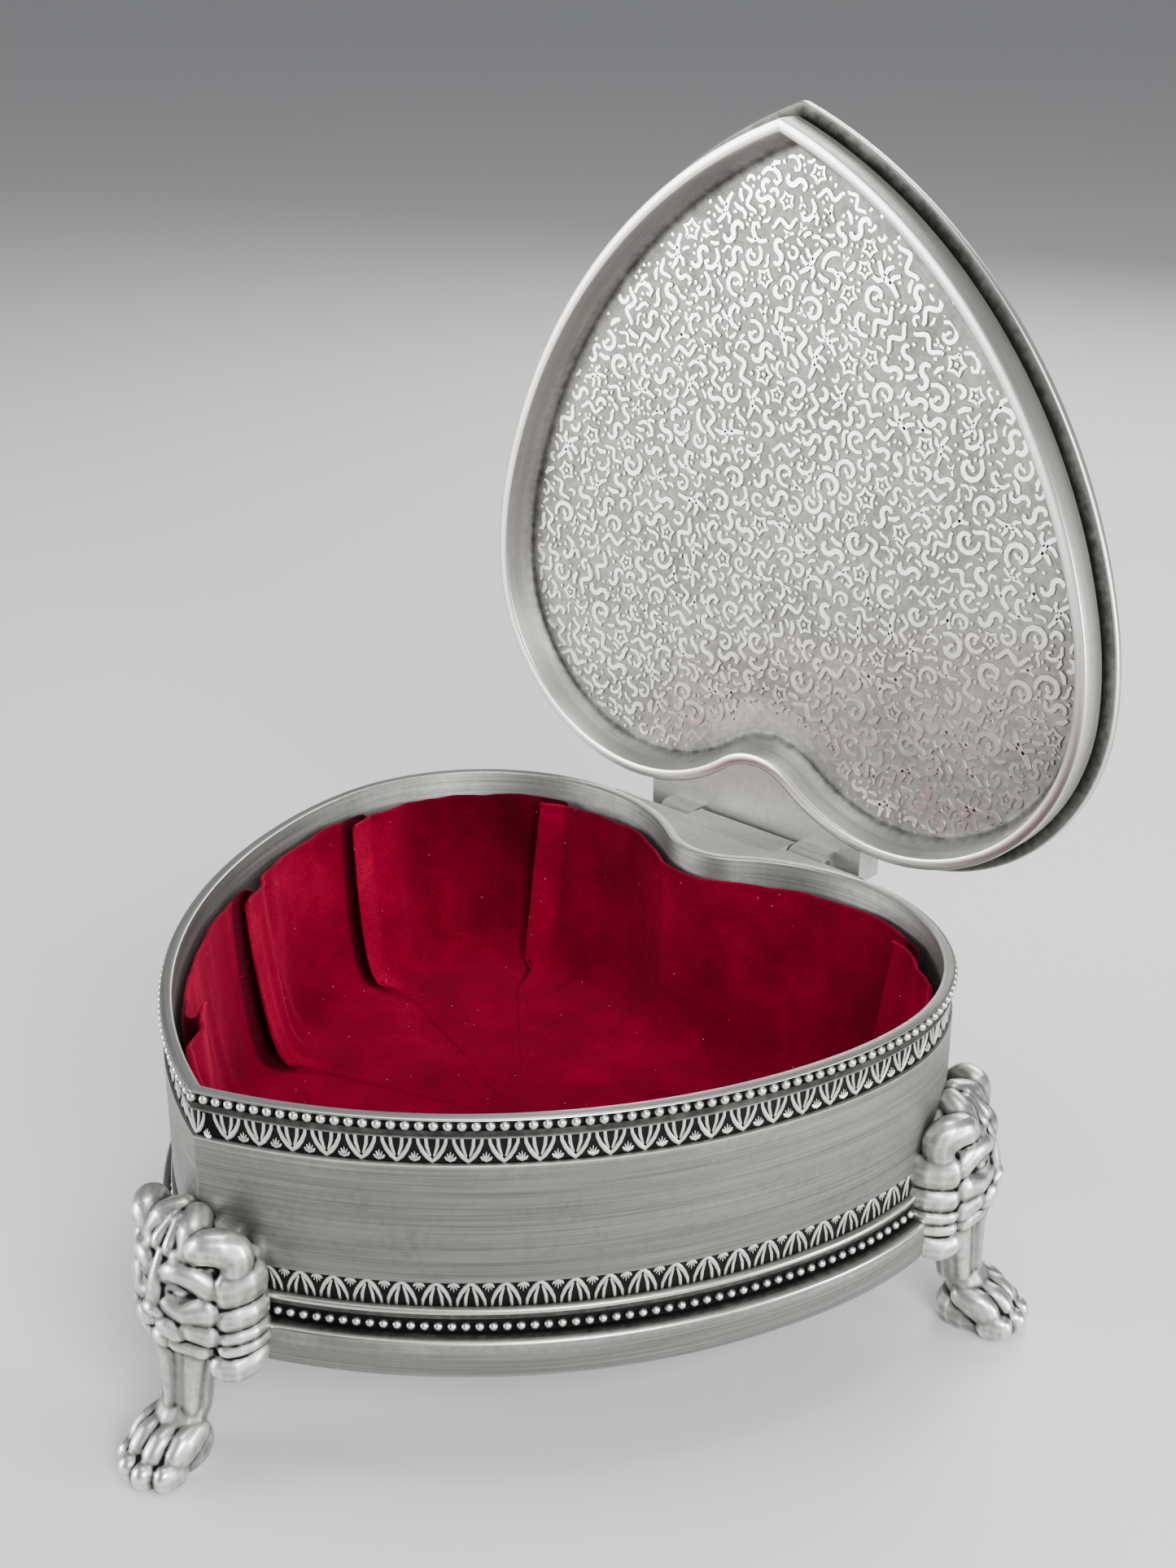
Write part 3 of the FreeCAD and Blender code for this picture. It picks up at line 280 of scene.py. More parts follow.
def apply_modifiers(obj):
    graph = bpy.context.evaluated_depsgraph_get()
    made = bpy.data.meshes.new_from_object(obj.evaluated_get(graph), depsgraph=graph)
    obj.modifiers.clear()
    old = obj.data
    obj.data = made
    bpy.data.meshes.remove(old)


def open_lid(obj):
    """Turn a piece built on the closed lid up to where the lid rests, open."""
    pivot = Vector((0, HINGE[1], HINGE[2])) * MM
    turn = Matrix.Translation(pivot) @ Matrix.Rotation(-math.pi / 2, 4, "X") @ Matrix.Translation(-pivot)
    obj.data.transform(turn)


# ------------------------------------------------------------ shader groups
def group(name, inputs, outputs):
    """New shader group with its input and output nodes."""
    tree = bpy.data.node_groups.new(name, "ShaderNodeTree")
    for label, kind, value in inputs:
        socket = tree.interface.new_socket(name=label, in_out="INPUT", socket_type=kind)
        socket.default_value = value
    for label, kind in outputs:
        tree.interface.new_socket(name=label, in_out="OUTPUT", socket_type=kind)
    return tree, tree.nodes.new("NodeGroupInput"), tree.nodes.new("NodeGroupOutput")


def add(tree, kind, settings=None, **links):
    """New node; links name its input sockets, numbers as in_0 and so on."""
    node = tree.nodes.new(kind)
    for key, value in (settings or {}).items():
        setattr(node, key, value)
    for key, value in links.items():
        spot = int(key[3:]) if key.startswith("in_") else key.replace("_", " ")
        feed(tree, node.inputs[spot], value)
    return node


def feed(tree, socket, value):
    """Link a socket into an input, or set it to a number or colour."""
    if isinstance(value, bpy.types.NodeSocket):
        tree.links.new(value, socket)
    else:
        socket.default_value = value


def noise(tree, vector, scale, detail=3.0):
    return add(tree, "ShaderNodeTexNoise", None, Vector=vector, Scale=scale, Detail=detail).outputs["Fac"]


def multiply_add(tree, value, factor, offset):
    return add(tree, "ShaderNodeMath", {"operation": "MULTIPLY_ADD"}, in_0=value, in_1=factor,
               in_2=offset).outputs[0]


def blend(tree, share, first, second, way="MIX"):
    return add(tree, "ShaderNodeMix", {"data_type": "RGBA", "blend_type": way}, in_0=share,
               in_6=first, in_7=second).outputs[2]


def step_up(tree, value, low, high):
    """Smooth rise from 0 to 1 between two values."""
    return add(tree, "ShaderNodeMapRange", {"interpolation_type": "SMOOTHSTEP"}, Value=value,
               From_Min=low, From_Max=high).outputs[0]


def object_place(tree):
    return add(tree, "ShaderNodeTexCoord").outputs["Object"]


# reads the per-point values: patina and wear on the pewter, painted shade and painted highlight on the velvet
def wear_and_shade_mark(tree):
    return add(tree, "ShaderNodeAttribute", {"attribute_name": "wear_and_shade"}).outputs["Fac"]


def ramp(tree, value, stops):
    """Colour ramp; each stop is a place and a colour."""
    node = tree.nodes.new("ShaderNodeValToRGB")
    points = node.color_ramp.elements
    while len(points) < len(stops):
        points.new(0.5)
    for point, (place, colour) in zip(points, stops):
        point.position = place
        point.color = (*colour, 1)
    tree.links.new(value, node.inputs[0])
    return node.outputs[0]


def multiply(tree, first, second):
    """One colour darkened by another."""
    return blend(tree, 1.0, first, second, "MULTIPLY")


def brushing_group():
    """Long fine scratches along a vector's first axis."""
    tree, gin, gout = group("brushing", [("Vector", "NodeSocketVector", (0, 0, 0)),
                                         ("Along", "NodeSocketFloat", 60.0),
                                         ("Across", "NodeSocketFloat", 6000.0)],
                            [("Lines", "NodeSocketFloat"), ("Patches", "NodeSocketFloat")])
    stretch = add(tree, "ShaderNodeCombineXYZ", None, X=gin.outputs["Along"],
                  Y=gin.outputs["Across"], Z=gin.outputs["Across"])
    place = add(tree, "ShaderNodeVectorMath", {"operation": "MULTIPLY"},
                in_0=gin.outputs["Vector"], in_1=stretch.outputs[0])
    fine = noise(tree, place.outputs[0], 1.0)
    wide = add(tree, "ShaderNodeVectorMath", {"operation": "SCALE"}, in_0=place.outputs[0], Scale=0.22)
    broad = noise(tree, wide.outputs[0], 1.0, 2.0)
    both = multiply_add(tree, broad, 0.35, multiply_add(tree, fine, 0.65, 0.0))
    tree.links.new(both, gout.inputs["Lines"])
    tree.links.new(noise(tree, gin.outputs["Vector"], 38.0), gout.inputs["Patches"])
    return tree


def antique_group():
    """Dark patina in the recesses and bright worn metal on what stands proud."""
    tree, gin, gout = group("antique", [("Wear", "NodeSocketFloat", 0.5),
                                        ("Vector", "NodeSocketVector", (0, 0, 0)),
                                        ("Dark", "NodeSocketColor", (0.03, 0.033, 0.03, 1)),
                                        ("Metal", "NodeSocketColor", (0.5, 0.5, 0.48, 1)),
                                        ("Bright", "NodeSocketColor", (0.8, 0.8, 0.78, 1)),
                                        ("Grain", "NodeSocketFloat", 700.0),
                                        ("Mottle", "NodeSocketFloat", 0.26)],
                            [("Color", "NodeSocketColor"), ("Roughness", "NodeSocketFloat"),
                             ("Height", "NodeSocketFloat")])
    grain = noise(tree, gin.outputs["Vector"], gin.outputs["Grain"], 4.0)
    blotch = noise(tree, gin.outputs["Vector"], 90.0)
    shift = multiply_add(tree, grain, 0.22, gin.outputs["Wear"])
    centre = add(tree, "ShaderNodeMath", {"operation": "SUBTRACT"}, in_0=blotch, in_1=0.5)
    mottled = multiply_add(tree, centre.outputs[0], gin.outputs["Mottle"], shift)
    level = add(tree, "ShaderNodeMath", {"operation": "SUBTRACT"}, in_0=mottled, in_1=0.11).outputs[0]
    dull = blend(tree, step_up(tree, level, 0.08, 0.5), gin.outputs["Dark"], gin.outputs["Metal"])
    full = blend(tree, step_up(tree, level, 0.5, 0.95), dull, gin.outputs["Bright"])
    rough = add(tree, "ShaderNodeMapRange", None, Value=level, From_Min=0.1, From_Max=0.9,
                To_Min=0.62, To_Max=0.24)
    tree.links.new(full, gout.inputs["Color"])
    tree.links.new(rough.outputs[0], gout.inputs["Roughness"])
    tree.links.new(grain, gout.inputs["Height"])
    return tree


BRUSHING = brushing_group()
ANTIQUE = antique_group()


def use(tree, shared, **links):
    """New node of a shared group."""
    return add(tree, "ShaderNodeGroup", {"node_tree": shared}, **links)


def material(name, metallic=1.0, **fixed):
    """New material; fixed names shader inputs set to one value all over."""
    mat = bpy.data.materials.new(name)
    mat.use_nodes = True
    tree = mat.node_tree
    shader = tree.nodes["Principled BSDF"]
    shader.inputs["Metallic"].default_value = metallic
    for key, value in fixed.items():
        shader.inputs[key.replace("_", " ")].default_value = value
    return mat, tree, shader


def bump(tree, shader, height, strength, distance):
    node = add(tree, "ShaderNodeBump", None, Height=height, Strength=strength, Distance=distance * MM)
    tree.links.new(node.outputs[0], shader.inputs["Normal"])


def pewter(name, dark, metal, bright, along=45.0, across=5200.0, line_depth=0.02, uv=True,
           default_wear=None, streak=0.35):
    """Antiqued pewter; brushed along the wall where the piece has a path map."""
    mat, tree, shader = material(name)
    place = object_place(tree)
    vector = add(tree, "ShaderNodeUVMap", {"uv_map": "path"}).outputs[0] if uv else place
    lines = use(tree, BRUSHING, Vector=vector, Along=along, Across=across)
    wear_and_shade = wear_and_shade_mark(tree) if default_wear is None else default_wear
    old = use(tree, ANTIQUE, Wear=wear_and_shade, Vector=place, Dark=(*dark, 1), Metal=(*metal, 1),
              Bright=(*bright, 1), Grain=700.0, Mottle=0.2)
    tint = ramp(tree, lines.outputs["Lines"], [(0.3, (1 - streak,) * 3), (0.7, WHITE)])
    tree.links.new(multiply(tree, old.outputs["Color"], tint), shader.inputs["Base Color"])
    rough = multiply_add(tree, lines.outputs["Patches"], 0.12, old.outputs["Roughness"])
    tree.links.new(rough, shader.inputs["Roughness"])
    height = multiply_add(tree, old.outputs["Height"], 0.4, lines.outputs["Lines"])
    bump(tree, shader, height, 0.6, line_depth)
    return mat


WHITE = (1.0, 1.0, 1.0)
DARK = (0.022, 0.024, 0.022)
GREY = (0.26, 0.265, 0.25)
PALE = (0.70, 0.70, 0.67)
wall_metal = pewter("brushed pewter", DARK, GREY, PALE, along=32.0, across=2200.0, line_depth=0.045,
                    streak=0.55)
relief_metal = pewter("antique pewter", DARK, (0.24, 0.245, 0.23), (0.68, 0.68, 0.65), uv=False,
                      along=500.0, across=500.0, streak=0.12)
leg_metal = pewter("worn pewter", (0.01, 0.011, 0.01), (0.28, 0.285, 0.27), (0.86, 0.86, 0.83), uv=False,
                   along=300.0, across=300.0, streak=0.15, line_depth=0.04)
# painted light: the lid and its embossing get lighter pewter colours than the body's wall, standing in for the
# brighter light that falls on the open lid
painted_light_lid_metal = pewter("lid pewter painted lighter", (0.04, 0.04, 0.037), (0.42, 0.415, 0.39), (0.88, 0.88, 0.85),
                   line_depth=0.02)
painted_light_emboss_metal = pewter("embossed pewter painted lighter", (0.02, 0.02, 0.018), (0.5, 0.49, 0.46), (0.98, 0.98, 0.95),
                      uv=False, along=500.0, across=500.0, streak=0.1)
hinge_metal = pewter("cast pewter", DARK, (0.44, 0.44, 0.42), (0.75, 0.75, 0.72), uv=False,
                     along=900.0, across=900.0, default_wear=0.55, streak=0.2, line_depth=0.06)


def plain_metal(name, colour, rough, grain=900.0, metallic=1.0):
    """Small metal parts: fine grain in tone, gloss and surface."""
    mat, tree, shader = material(name, metallic)
    place = object_place(tree)
    speckle = noise(tree, place, grain, 4.0)
    blotch = noise(tree, place, grain * 0.12, 2.0)
    low = tuple(c * 0.72 for c in colour)
    tree.links.new(ramp(tree, blotch, [(0.3, low), (0.7, colour)]), shader.inputs["Base Color"])
    gloss = add(tree, "ShaderNodeMapRange", None, Value=speckle, To_Min=rough * 0.75, To_Max=rough * 1.3)
    tree.links.new(gloss.outputs[0], shader.inputs["Roughness"])
    bump(tree, shader, speckle, 0.35, 0.02)
    return mat


# ------------------------------------------------------------ body
def build_body():
    """Wall, bands and plinth: (grow, depth under the rim, wear) round the section."""
    section = [
        (-WALL, 45.7, 0.3), (-WALL, 0.25, 0.45), (-1.9, 0.05, 0.8), (-1.7, 0.0, 0.95),
        (-0.3, 0.0, 0.95), (-0.08, 0.08, 1.0), (0.0, 0.25, 0.9), (-0.15, 0.45, 0.25),
        (-0.75, 0.55, 0.0), (-0.75, 2.0, 0.0), (-0.3, 2.15, 0.18), (-0.32, 3.1, 0.22),
        (-0.1, 3.22, 0.6), (-0.1, 3.36, 0.5), (-0.85, 3.46, 0.0), (-0.85, 8.0, 0.0),
        (-0.2, 8.12, 0.5), (-0.02, 8.25, 0.95), (0.0, 8.6, 0.55), (0.0, 16.0, 0.45),
        (0.0, 24.0, 0.45), (0.0, 29.4, 0.48), (-0.05, 29.65, 0.6), (-0.85, 29.75, 0.0),
        (-0.85, 34.4, 0.0), (0.35, 34.5, 0.85), (0.55, 34.7, 1.0), (0.55, 35.2, 0.9),
        (0.3, 35.4, 0.35), (0.15, 36.3, 0.22), (-0.1, 36.42, 0.1), (-0.35, 36.5, 0.0),
        (-0.35, 39.0, 0.0), (1.4, 39.15, 0.25), (2.2, 39.25, 0.8), (2.45, 39.45, 1.0),
        (2.5, 39.8, 0.6), (2.5, 42.5, 0.5), (2.5, 45.3, 0.5), (2.4, 45.75, 0.85), (2.1, BODY_HEIGHT, 0.5),
        (-1.9, BODY_HEIGHT, 0.3),
    ]
    rings = [(grow, RIM_Z - depth) for grow, depth, _ in section]
    wear_and_shade = [tone for _, _, tone in section]
    body = loft("body_casting", rings, wear_and_shade, closed=True, sharp=50)
    outward(body)
    finish_piece(body, wall_metal, "box", "pewter", "body_shell")


def build_hinge_web():
    """Smooth plate in the cleft with the fixed knuckle, flush with the rim."""
    web_back = HINGE_BACK - KNUCKLE_RADIUS - 1.2
    cleft = [p for p in heart(-0.4) if p[1] > 0 and abs(p[0]) < LOBE_X]
    cleft.sort(key=lambda p: p[0])
    outline = [(x, y) for x, y in cleft] + [(LOBE_X, web_back), (-LOBE_X, web_back)]
    low, high = RIM_Z - 6.0, RIM_Z - 0.03
    count = len(outline)
    verts = [(x, y + WIDEST_Y, low) for x, y in outline] + [(x, y + WIDEST_Y, high) for x, y in outline]
    faces = [tuple(range(count))[::-1], tuple(range(count, 2 * count))]
    faces += [(k, (k + 1) % count, (k + 1) % count + count, k + count) for k in range(count)]
    web = new_object("hinge_web", verts, faces)
    outward(web)
    finish_piece(web, hinge_metal, "box", "pewter")
    # fixed knuckle: flat top, rounded over at the back
    half = 11.9
    bend = [(HINGE_BACK + KNUCKLE_RADIUS * math.sin(a), RIM_Z - KNUCKLE_RADIUS * (1 - math.cos(a)))
            for a in np.linspace(0, math.pi / 2, 9)]
    side = [(web_back - 3.0, RIM_Z)] + bend + [(HINGE_BACK + KNUCKLE_RADIUS, low), (web_back - 3.0, low)]
    count = len(side)
    verts = [(s * half, y + WIDEST_Y, z) for s in (-1, 1) for y, z in side]
    faces = [tuple(range(count)), tuple(range(count, 2 * count))[::-1]]
    faces += [(k + count, (k + 1) % count + count, (k + 1) % count, k) for k in range(count)]
    knuckle = new_object("fixed_knuckle", verts, faces)
    outward(knuckle)
    bevel_once(knuckle, 0.25)
    finish_piece(knuckle, hinge_metal, "box", "pewter")


def bevel_once(obj, width):
    bm = bmesh.new()
    bm.from_mesh(obj.data)
    edges = [e for e in bm.edges if len(e.link_faces) == 2 and e.calc_face_angle() > math.radians(40)]
    bmesh.ops.bevel(bm, geom=edges, offset=width * MM, segments=2, affect="EDGES", profile=0.6)
    bm.to_mesh(obj.data)
    bm.free()
    smooth(obj.data)


# ------------------------------------------------------------ bead rows and leaf bands
def row_tree():
    """Geometry Nodes: evenly spaced copies of a motif along a closed path."""
    tree = bpy.data.node_groups.new("motif row", "GeometryNodeTree")
    for label, kind in (("Path", "NodeSocketGeometry"), ("Motif", "NodeSocketObject"),
                        ("Count", "NodeSocketInt"), ("Metal", "NodeSocketMaterial")):
        tree.interface.new_socket(name=label, in_out="INPUT", socket_type=kind)
    tree.interface.new_socket(name="Row", in_out="OUTPUT", socket_type="NodeSocketGeometry")
    gin = tree.nodes.new("NodeGroupInput")
    gout = tree.nodes.new("NodeGroupOutput")
    curve = add(tree, "GeometryNodeMeshToCurve", None, Mesh=gin.outputs["Path"])
    even = add(tree, "GeometryNodeResampleCurve", None, Curve=curve.outputs[0],
               Count=gin.outputs["Count"])
    way = tree.nodes.new("GeometryNodeInputTangent")
    turn = add(tree, "FunctionNodeAlignRotationToVector", {"axis": "X", "pivot_axis": "Z"},
               Vector=way.outputs[0])
    motif = add(tree, "GeometryNodeObjectInfo", None, Object=gin.outputs["Motif"])
    copies = add(tree, "GeometryNodeInstanceOnPoints", None, Points=even.outputs[0],
                 Instance=motif.outputs["Geometry"], Rotation=turn.outputs[0])
    real = add(tree, "GeometryNodeRealizeInstances", None, Geometry=copies.outputs[0])
    coat = add(tree, "GeometryNodeSetMaterial", None, Geometry=real.outputs[0],
               Material=gin.outputs["Metal"])
    tree.links.new(coat.outputs[0], gout.inputs[0])
    return tree


def set_input(modifier, label, value):
    for item in modifier.node_group.interface.items_tree:
        if item.item_type == "SOCKET" and item.in_out == "INPUT" and item.name == label:
            modifier[item.identifier] = value


def bake(obj, tree, **inputs):
    """Evaluate a Geometry Nodes tree on obj and keep the result as its plain mesh."""
    modifier = obj.modifiers.new("nodes", "NODES")
    modifier.node_group = tree
    for label, value in inputs.items():
        set_input(modifier, label, value)
    apply_modifiers(obj)
    smooth(obj.data)


def tube(path, radii, sides=6):
    """Half-round rib along a path of (x, z) in the band's plane; y is outwards."""
    verts, faces, wear_and_shade = [], [], []
    count = len(path)
    for i, (x, z) in enumerate(path):
        ahead = path[min(i + 1, count - 1)]
        behind = path[max(i - 1, 0)]
        dx, dz = ahead[0] - behind[0], ahead[1] - behind[1]
        length = math.hypot(dx, dz) or 1.0
        nx, nz = -dz / length, dx / length
        for k in range(sides):
            turn = math.pi * k / (sides - 1)
            side, out = math.cos(turn) * radii[i], math.sin(turn) * radii[i] * RIB_FLATNESS
            verts.append((x + nx * side, out, z + nz * side))
            wear_and_shade.append(0.1 + 0.9 * math.sin(turn))
    for i in range(count - 1):
        for k in range(sides - 1):
            a = i * sides + k
            faces.append((a, a + 1, a + sides + 1, a + sides))
    faces.append(tuple(range(sides))[::-1])
    faces.append(tuple(range((count - 1) * sides, count * sides)))
    return verts, faces, wear_and_shade


def join_parts(parts):
    verts, faces, wear_and_shade = [], [], []
    for v, f, w in parts:
        start = len(verts)
        verts += v
        faces += [tuple(i + start for i in face) for face in f]
        wear_and_shade += w
    return verts, faces, wear_and_shade


def leaf_motif(name, pitch, high, up):
    """Pointed fan leaf with two inner ribs, and the small bud beside it.

    The leaf spans from z = 0 (its open end) to high at its point; up is +1 or -1.
    """
    half = pitch * 0.40
    arch = [(-half, 0.0), (-half * 0.94, high * 0.26), (-half * 0.70, high * 0.56),
            (-half * 0.36, high * 0.82), (0.0, high)]
    arch += [(-x, z) for x, z in arch[-2::-1]]
    arch_radius = [0.26, 0.33, 0.40, 0.46, 0.50, 0.46, 0.40, 0.33, 0.26]
    parts = [tube(arch, arch_radius)]
    for side in (-1, 1):
        rib = [(side * half * 0.42, 0.05), (side * half * 0.36, high * 0.4), (side * half * 0.13, high * 0.8)]
        parts.append(tube(rib, [0.30, 0.33, 0.2]))
    mid = pitch / 2
    top = high * 0.98
    cap = [(mid - 0.85, top - 0.75), (mid - 0.6, top - 0.35), (mid, top - 0.12),
           (mid + 0.6, top - 0.35), (mid + 0.85, top - 0.75)]
    parts.append(tube(cap, [0.16, 0.32, 0.42, 0.32, 0.16]))
    for lean in (-1, 0, 1):
        stem = [(mid + lean * 0.22, top - 0.5), (mid + lean * 0.5, top - 1.25 - 0.35 * (lean == 0))]
        parts.append(tube(stem, [0.2, 0.08], sides=4))
    verts, faces, wear_and_shade = join_parts(parts)
    verts = [(x, -y, z * up) for x, y, z in verts]
    return motif_object(name, verts, faces, wear_and_shade)


def bead_motif(name, radius, stretch):
    sides, rings = 10, 6
    verts, wear_and_shade = [(0, 0, radius * stretch)], [0.75]
    for i in range(1, rings):
        a = math.pi * i / rings
        for k in range(sides):
            b = 2 * math.pi * k / sides
            out = radius * math.sin(a)
            verts.append((out * math.cos(b), out * math.sin(b), radius * stretch * math.cos(a)))
            wear_and_shade.append(0.55 - 0.45 * math.sin(b) * math.sin(a))
    verts.append((0, 0, -radius * stretch))
    wear_and_shade.append(0.4)
    return motif_object(name, verts, globe_faces(sides, rings), wear_and_shade)


def motif_object(name, verts, faces, wear_and_shade):
    obj = new_object(name, verts, faces, wear_and_shade)
    outward(obj)
    obj.hide_render = True
    return obj


def path_object(name, grow, z):
    points = heart(grow)
    count = len(points)
    mesh = bpy.data.meshes.new(name)
    verts = [(x * MM, (y + WIDEST_Y) * MM, z * MM) for x, y in points]
    mesh.from_pydata(verts, [(k, (k + 1) % count) for k in range(count)], [])
    return link(bpy.data.objects.new(name, mesh))


def build_bands():
    """Two rows of beads and two of leaves: motif, copies, how far out, depth under the rim."""
    rows = row_tree()
    length = path_lengths(heart(0.0))[-1]
    beads = round(length / BEAD_PITCH)
    leaves = round(length / LEAF_PITCH)
    pitch = length / leaves
    table = (("upper_beads", bead_motif("upper bead", 0.86, 0.95), beads, -0.35, 1.22),
             ("lower_beads", bead_motif("lower bead", 0.80, 1.0), beads, 0.05, 37.75),
             ("upper_leaves", leaf_motif("upper leaf", pitch, LEAF_HEIGHT, -1), leaves, -0.83, 3.42),
             ("lower_leaves", leaf_motif("lower leaf", pitch, LEAF_HEIGHT, 1), leaves, -0.83, 34.45))
    for name, motif, count, grow, depth in table:
        row = path_object(name, grow, RIM_Z - depth)
        bake(row, rows, Motif=motif, Count=count, Metal=relief_metal)
        finish_piece(row, relief_metal, "box", "pewter")
    for _, motif, *_ in table:
        bpy.data.objects.remove(motif)


# ------------------------------------------------------------ lid
LID_INNER_DEPTH = 6.2
LID_DISH = 1.0
STROKE_HEIGHT = 0.34
STROKE_SLOPE = 0.2
STROKE_ROOT = 0.25              # how far a stroke is sunk into the lid
SCROLL_SEED = 11
SCROLL_CELL = 0.2
SCROLL_GAP = 0.3


def lid_dish(x, y):
    """How much higher the closed lid's ceiling is at a point of the plan than at its edge."""
    return LID_DISH * max(0.0, 1 - (x / 62.0) ** 2 - ((y + 22.0) / 66.0) ** 2)


def build_lid():
    section = [
        (-7.5, 6.2, 0.36), (-5.4, 6.2, 0.34), (-4.3, 6.05, 0.2), (-3.6, 5.3, 0.35),
        (-2.9, 3.0, 0.5), (-2.35, 0.4, 0.55), (-2.2, 0.12, 0.8), (-2.0, 0.0, 1.0),
        (-0.3, 0.0, 1.0), (-0.08, 0.08, 0.95), (0.0, 0.3, 0.7), (0.0, 2.8, 0.5), (0.0, 5.2, 0.5),
        (-0.1, 5.38, 0.8), (-0.7, 5.45, 0.05), (-0.7, 6.2, 0.05), (1.9, 6.25, 0.3), (2.25, 6.35, 0.8),
        (2.4, 6.6, 0.9), (2.4, 7.5, 0.6), (2.2, 7.9, 0.95), (1.8, 8.1, 0.8), (-1.0, 8.15, 0.5),
        (-6.0, 8.3, 0.45), (-7.0, 8.45, 0.6),
    ]
    rings = [(grow, LID_Z + depth) for grow, depth, _ in section]
    wear_and_shade = [tone for _, _, tone in section]

    def inside(x, y):
        return (lid_dish(x, y), 0.36)

    def outside(x, y):
        return (0.55 * lid_dish(x, y), 0.5)

    lid = loft("lid_casting", rings, wear_and_shade, caps=(inside, outside), sharp=50)
    outward(lid)
    open_lid(lid)
    finish_piece(lid, painted_light_lid_metal, "lid", "pewter", "lid_shell")


def stroke(path, widths):
    """Flat-topped raised stroke along a path, with sloping sides."""
    verts, faces, wear_and_shade = [], [], []
    count = len(path)
    for i, (x, y) in enumerate(path):
        ahead, behind = path[min(i + 1, count - 1)], path[max(i - 1, 0)]
        dx, dy = ahead[0] - behind[0], ahead[1] - behind[1]
        length = math.hypot(dx, dy) or 1.0
        nx, ny = -dy / length, dx / length
        half = widths[i] / 2
        foot = half + STROKE_SLOPE
        for side, z, shade in ((-foot, -STROKE_ROOT, 0.0), (-half, STROKE_HEIGHT, 1.0),
                               (half, STROKE_HEIGHT, 1.0), (foot, -STROKE_ROOT, 0.0)):
            verts.append((x + nx * side, y + ny * side, z))
            wear_and_shade.append(shade)
    for i in range(count - 1):
        for k in range(3):
            a = i * 4 + k
            faces.append((a, a + 1, a + 5, a + 4))
    faces.append((0, 1, 2, 3)[::-1])
    last = (count - 1) * 4
    faces.append((last, last + 1, last + 2, last + 3))
    return verts, faces, wear_and_shade


def spiral(x, y, r0, r1, start, sweep, count=9):
    turns = np.linspace(0, 1, count)
    return [(x + (r0 + (r1 - r0) * t) * math.cos(start + sweep * t),
             y + (r0 + (r1 - r0) * t) * math.sin(start + sweep * t)) for t in turns]


def scroll_motifs():
    """Embossing motifs in millimetres, each a list of (path, widths)."""
    def even(path, wide, thin=0.45):
        return path, [thin + (wide - thin) * math.sin(math.pi * (0.12 + 0.76 * i / (len(path) - 1)))
                      for i in range(len(path))]

    upper = spiral(0.0, 1.45, 0.55, 1.5, 2.0, -3.5, 7)
    s_scroll = upper + [(-px, -py) for px, py in upper[::-1]]
    trunk = [(-3.2, -1.2), (-1.5, -0.45), (0.2, -0.3), (1.8, 0.2), (3.1, 1.3)]
    petals = [((1.35 + 0.42 * math.cos(5 * a)) * math.cos(a), (1.35 + 0.42 * math.cos(5 * a)) * math.sin(a))
              for a in np.linspace(0, 2 * math.pi, 16)]
    return [
        [even(spiral(0, 0, 2.5, 1.0, 0.3, 5.4, 11), 0.95),
         even([(0.1, -0.6), (0.25, 0.2), (-0.2, 0.8)], 0.7)],
        [even(s_scroll, 1.0)],
        [even(trunk, 0.95), even([(-0.6, -0.4), (-0.7, 0.8), (-1.6, 1.9)], 0.8),
         even([(0.9, 0.0), (0.9, 1.3), (0.2, 2.4)], 0.8), even([(0.5, -0.4), (1.4, -1.4), (2.6, -1.5)], 0.8)],
        [(petals, [0.55] * 16), ([(-0.3, 0), (0.3, 0)], [0.6, 0.6])],
        [even(spiral(0.3, 0, 1.5, 0.6, 0.2, 3.6, 8), 0.95, 0.5)],
        [even([(-1.7, -0.7), (-0.7, -0.15), (0.5, -0.1), (1.4, 0.45), (1.45, 1.4)], 0.85)],
        [even([(0, -1.7), (0.1, 0.0), (-1.0, 1.4)], 0.8), even([(0.0, -0.2), (1.1, 1.3)], 0.8)],
        [even(spiral(shift, -1.6, 1.5, 2.4, 1.1 + 0.5 * k, 0.8, 5), 0.75)
         for k, shift in enumerate((1.1, 0.0, -1.1))],
        [([(-0.28, 0), (0.28, 0)], [0.75, 0.75])],
        [even(spiral(0, 0, 1.15, 1.05, 0.4, 5.2, 10), 0.7, 0.5)],
        [even([(-1.3, 0.0), (0.0, 0.3), (1.3, 0.0)], 0.95)],
        [even(spiral(0, 0, 3.4, 2.9, 0.2, 1.9, 7), 1.0, 0.4)],
        [even([(t, 0.8 * math.sin(1.55 * t)) for t in np.linspace(-3.2, 3.2, 13)], 0.85)],
        [even([(-2.4, 0.9), (-1.3, -0.2), (0.0, -0.4), (1.2, 0.3), (1.7, 1.4), (1.0, 2.1), (0.3, 1.5)], 0.9),
         even([(-0.4, -0.5), (0.3, -1.4), (1.5, -1.6)], 0.8)],
    ]


def footprint(strokes):
    """Points that cover a motif's strokes, for packing them without touching."""
    spots = []
    for path, widths in strokes:
        for i in range(len(path) - 1):
            (x0, y0), (x1, y1) = path[i], path[i + 1]
            steps = max(2, int(math.hypot(x1 - x0, y1 - y0) / 0.3))
            for k in range(steps):
                t = k / (steps - 1)
                half = (widths[i] * (1 - t) + widths[i + 1] * t) / 2
                length = math.hypot(x1 - x0, y1 - y0) or 1.0
                nx, ny = (y0 - y1) / length, (x1 - x0) / length
                for side in (-half, 0.0, half):
                    spots.append((x0 + (x1 - x0) * t + nx * side, y0 + (y1 - y0) * t + ny * side))
    return np.array(spots)


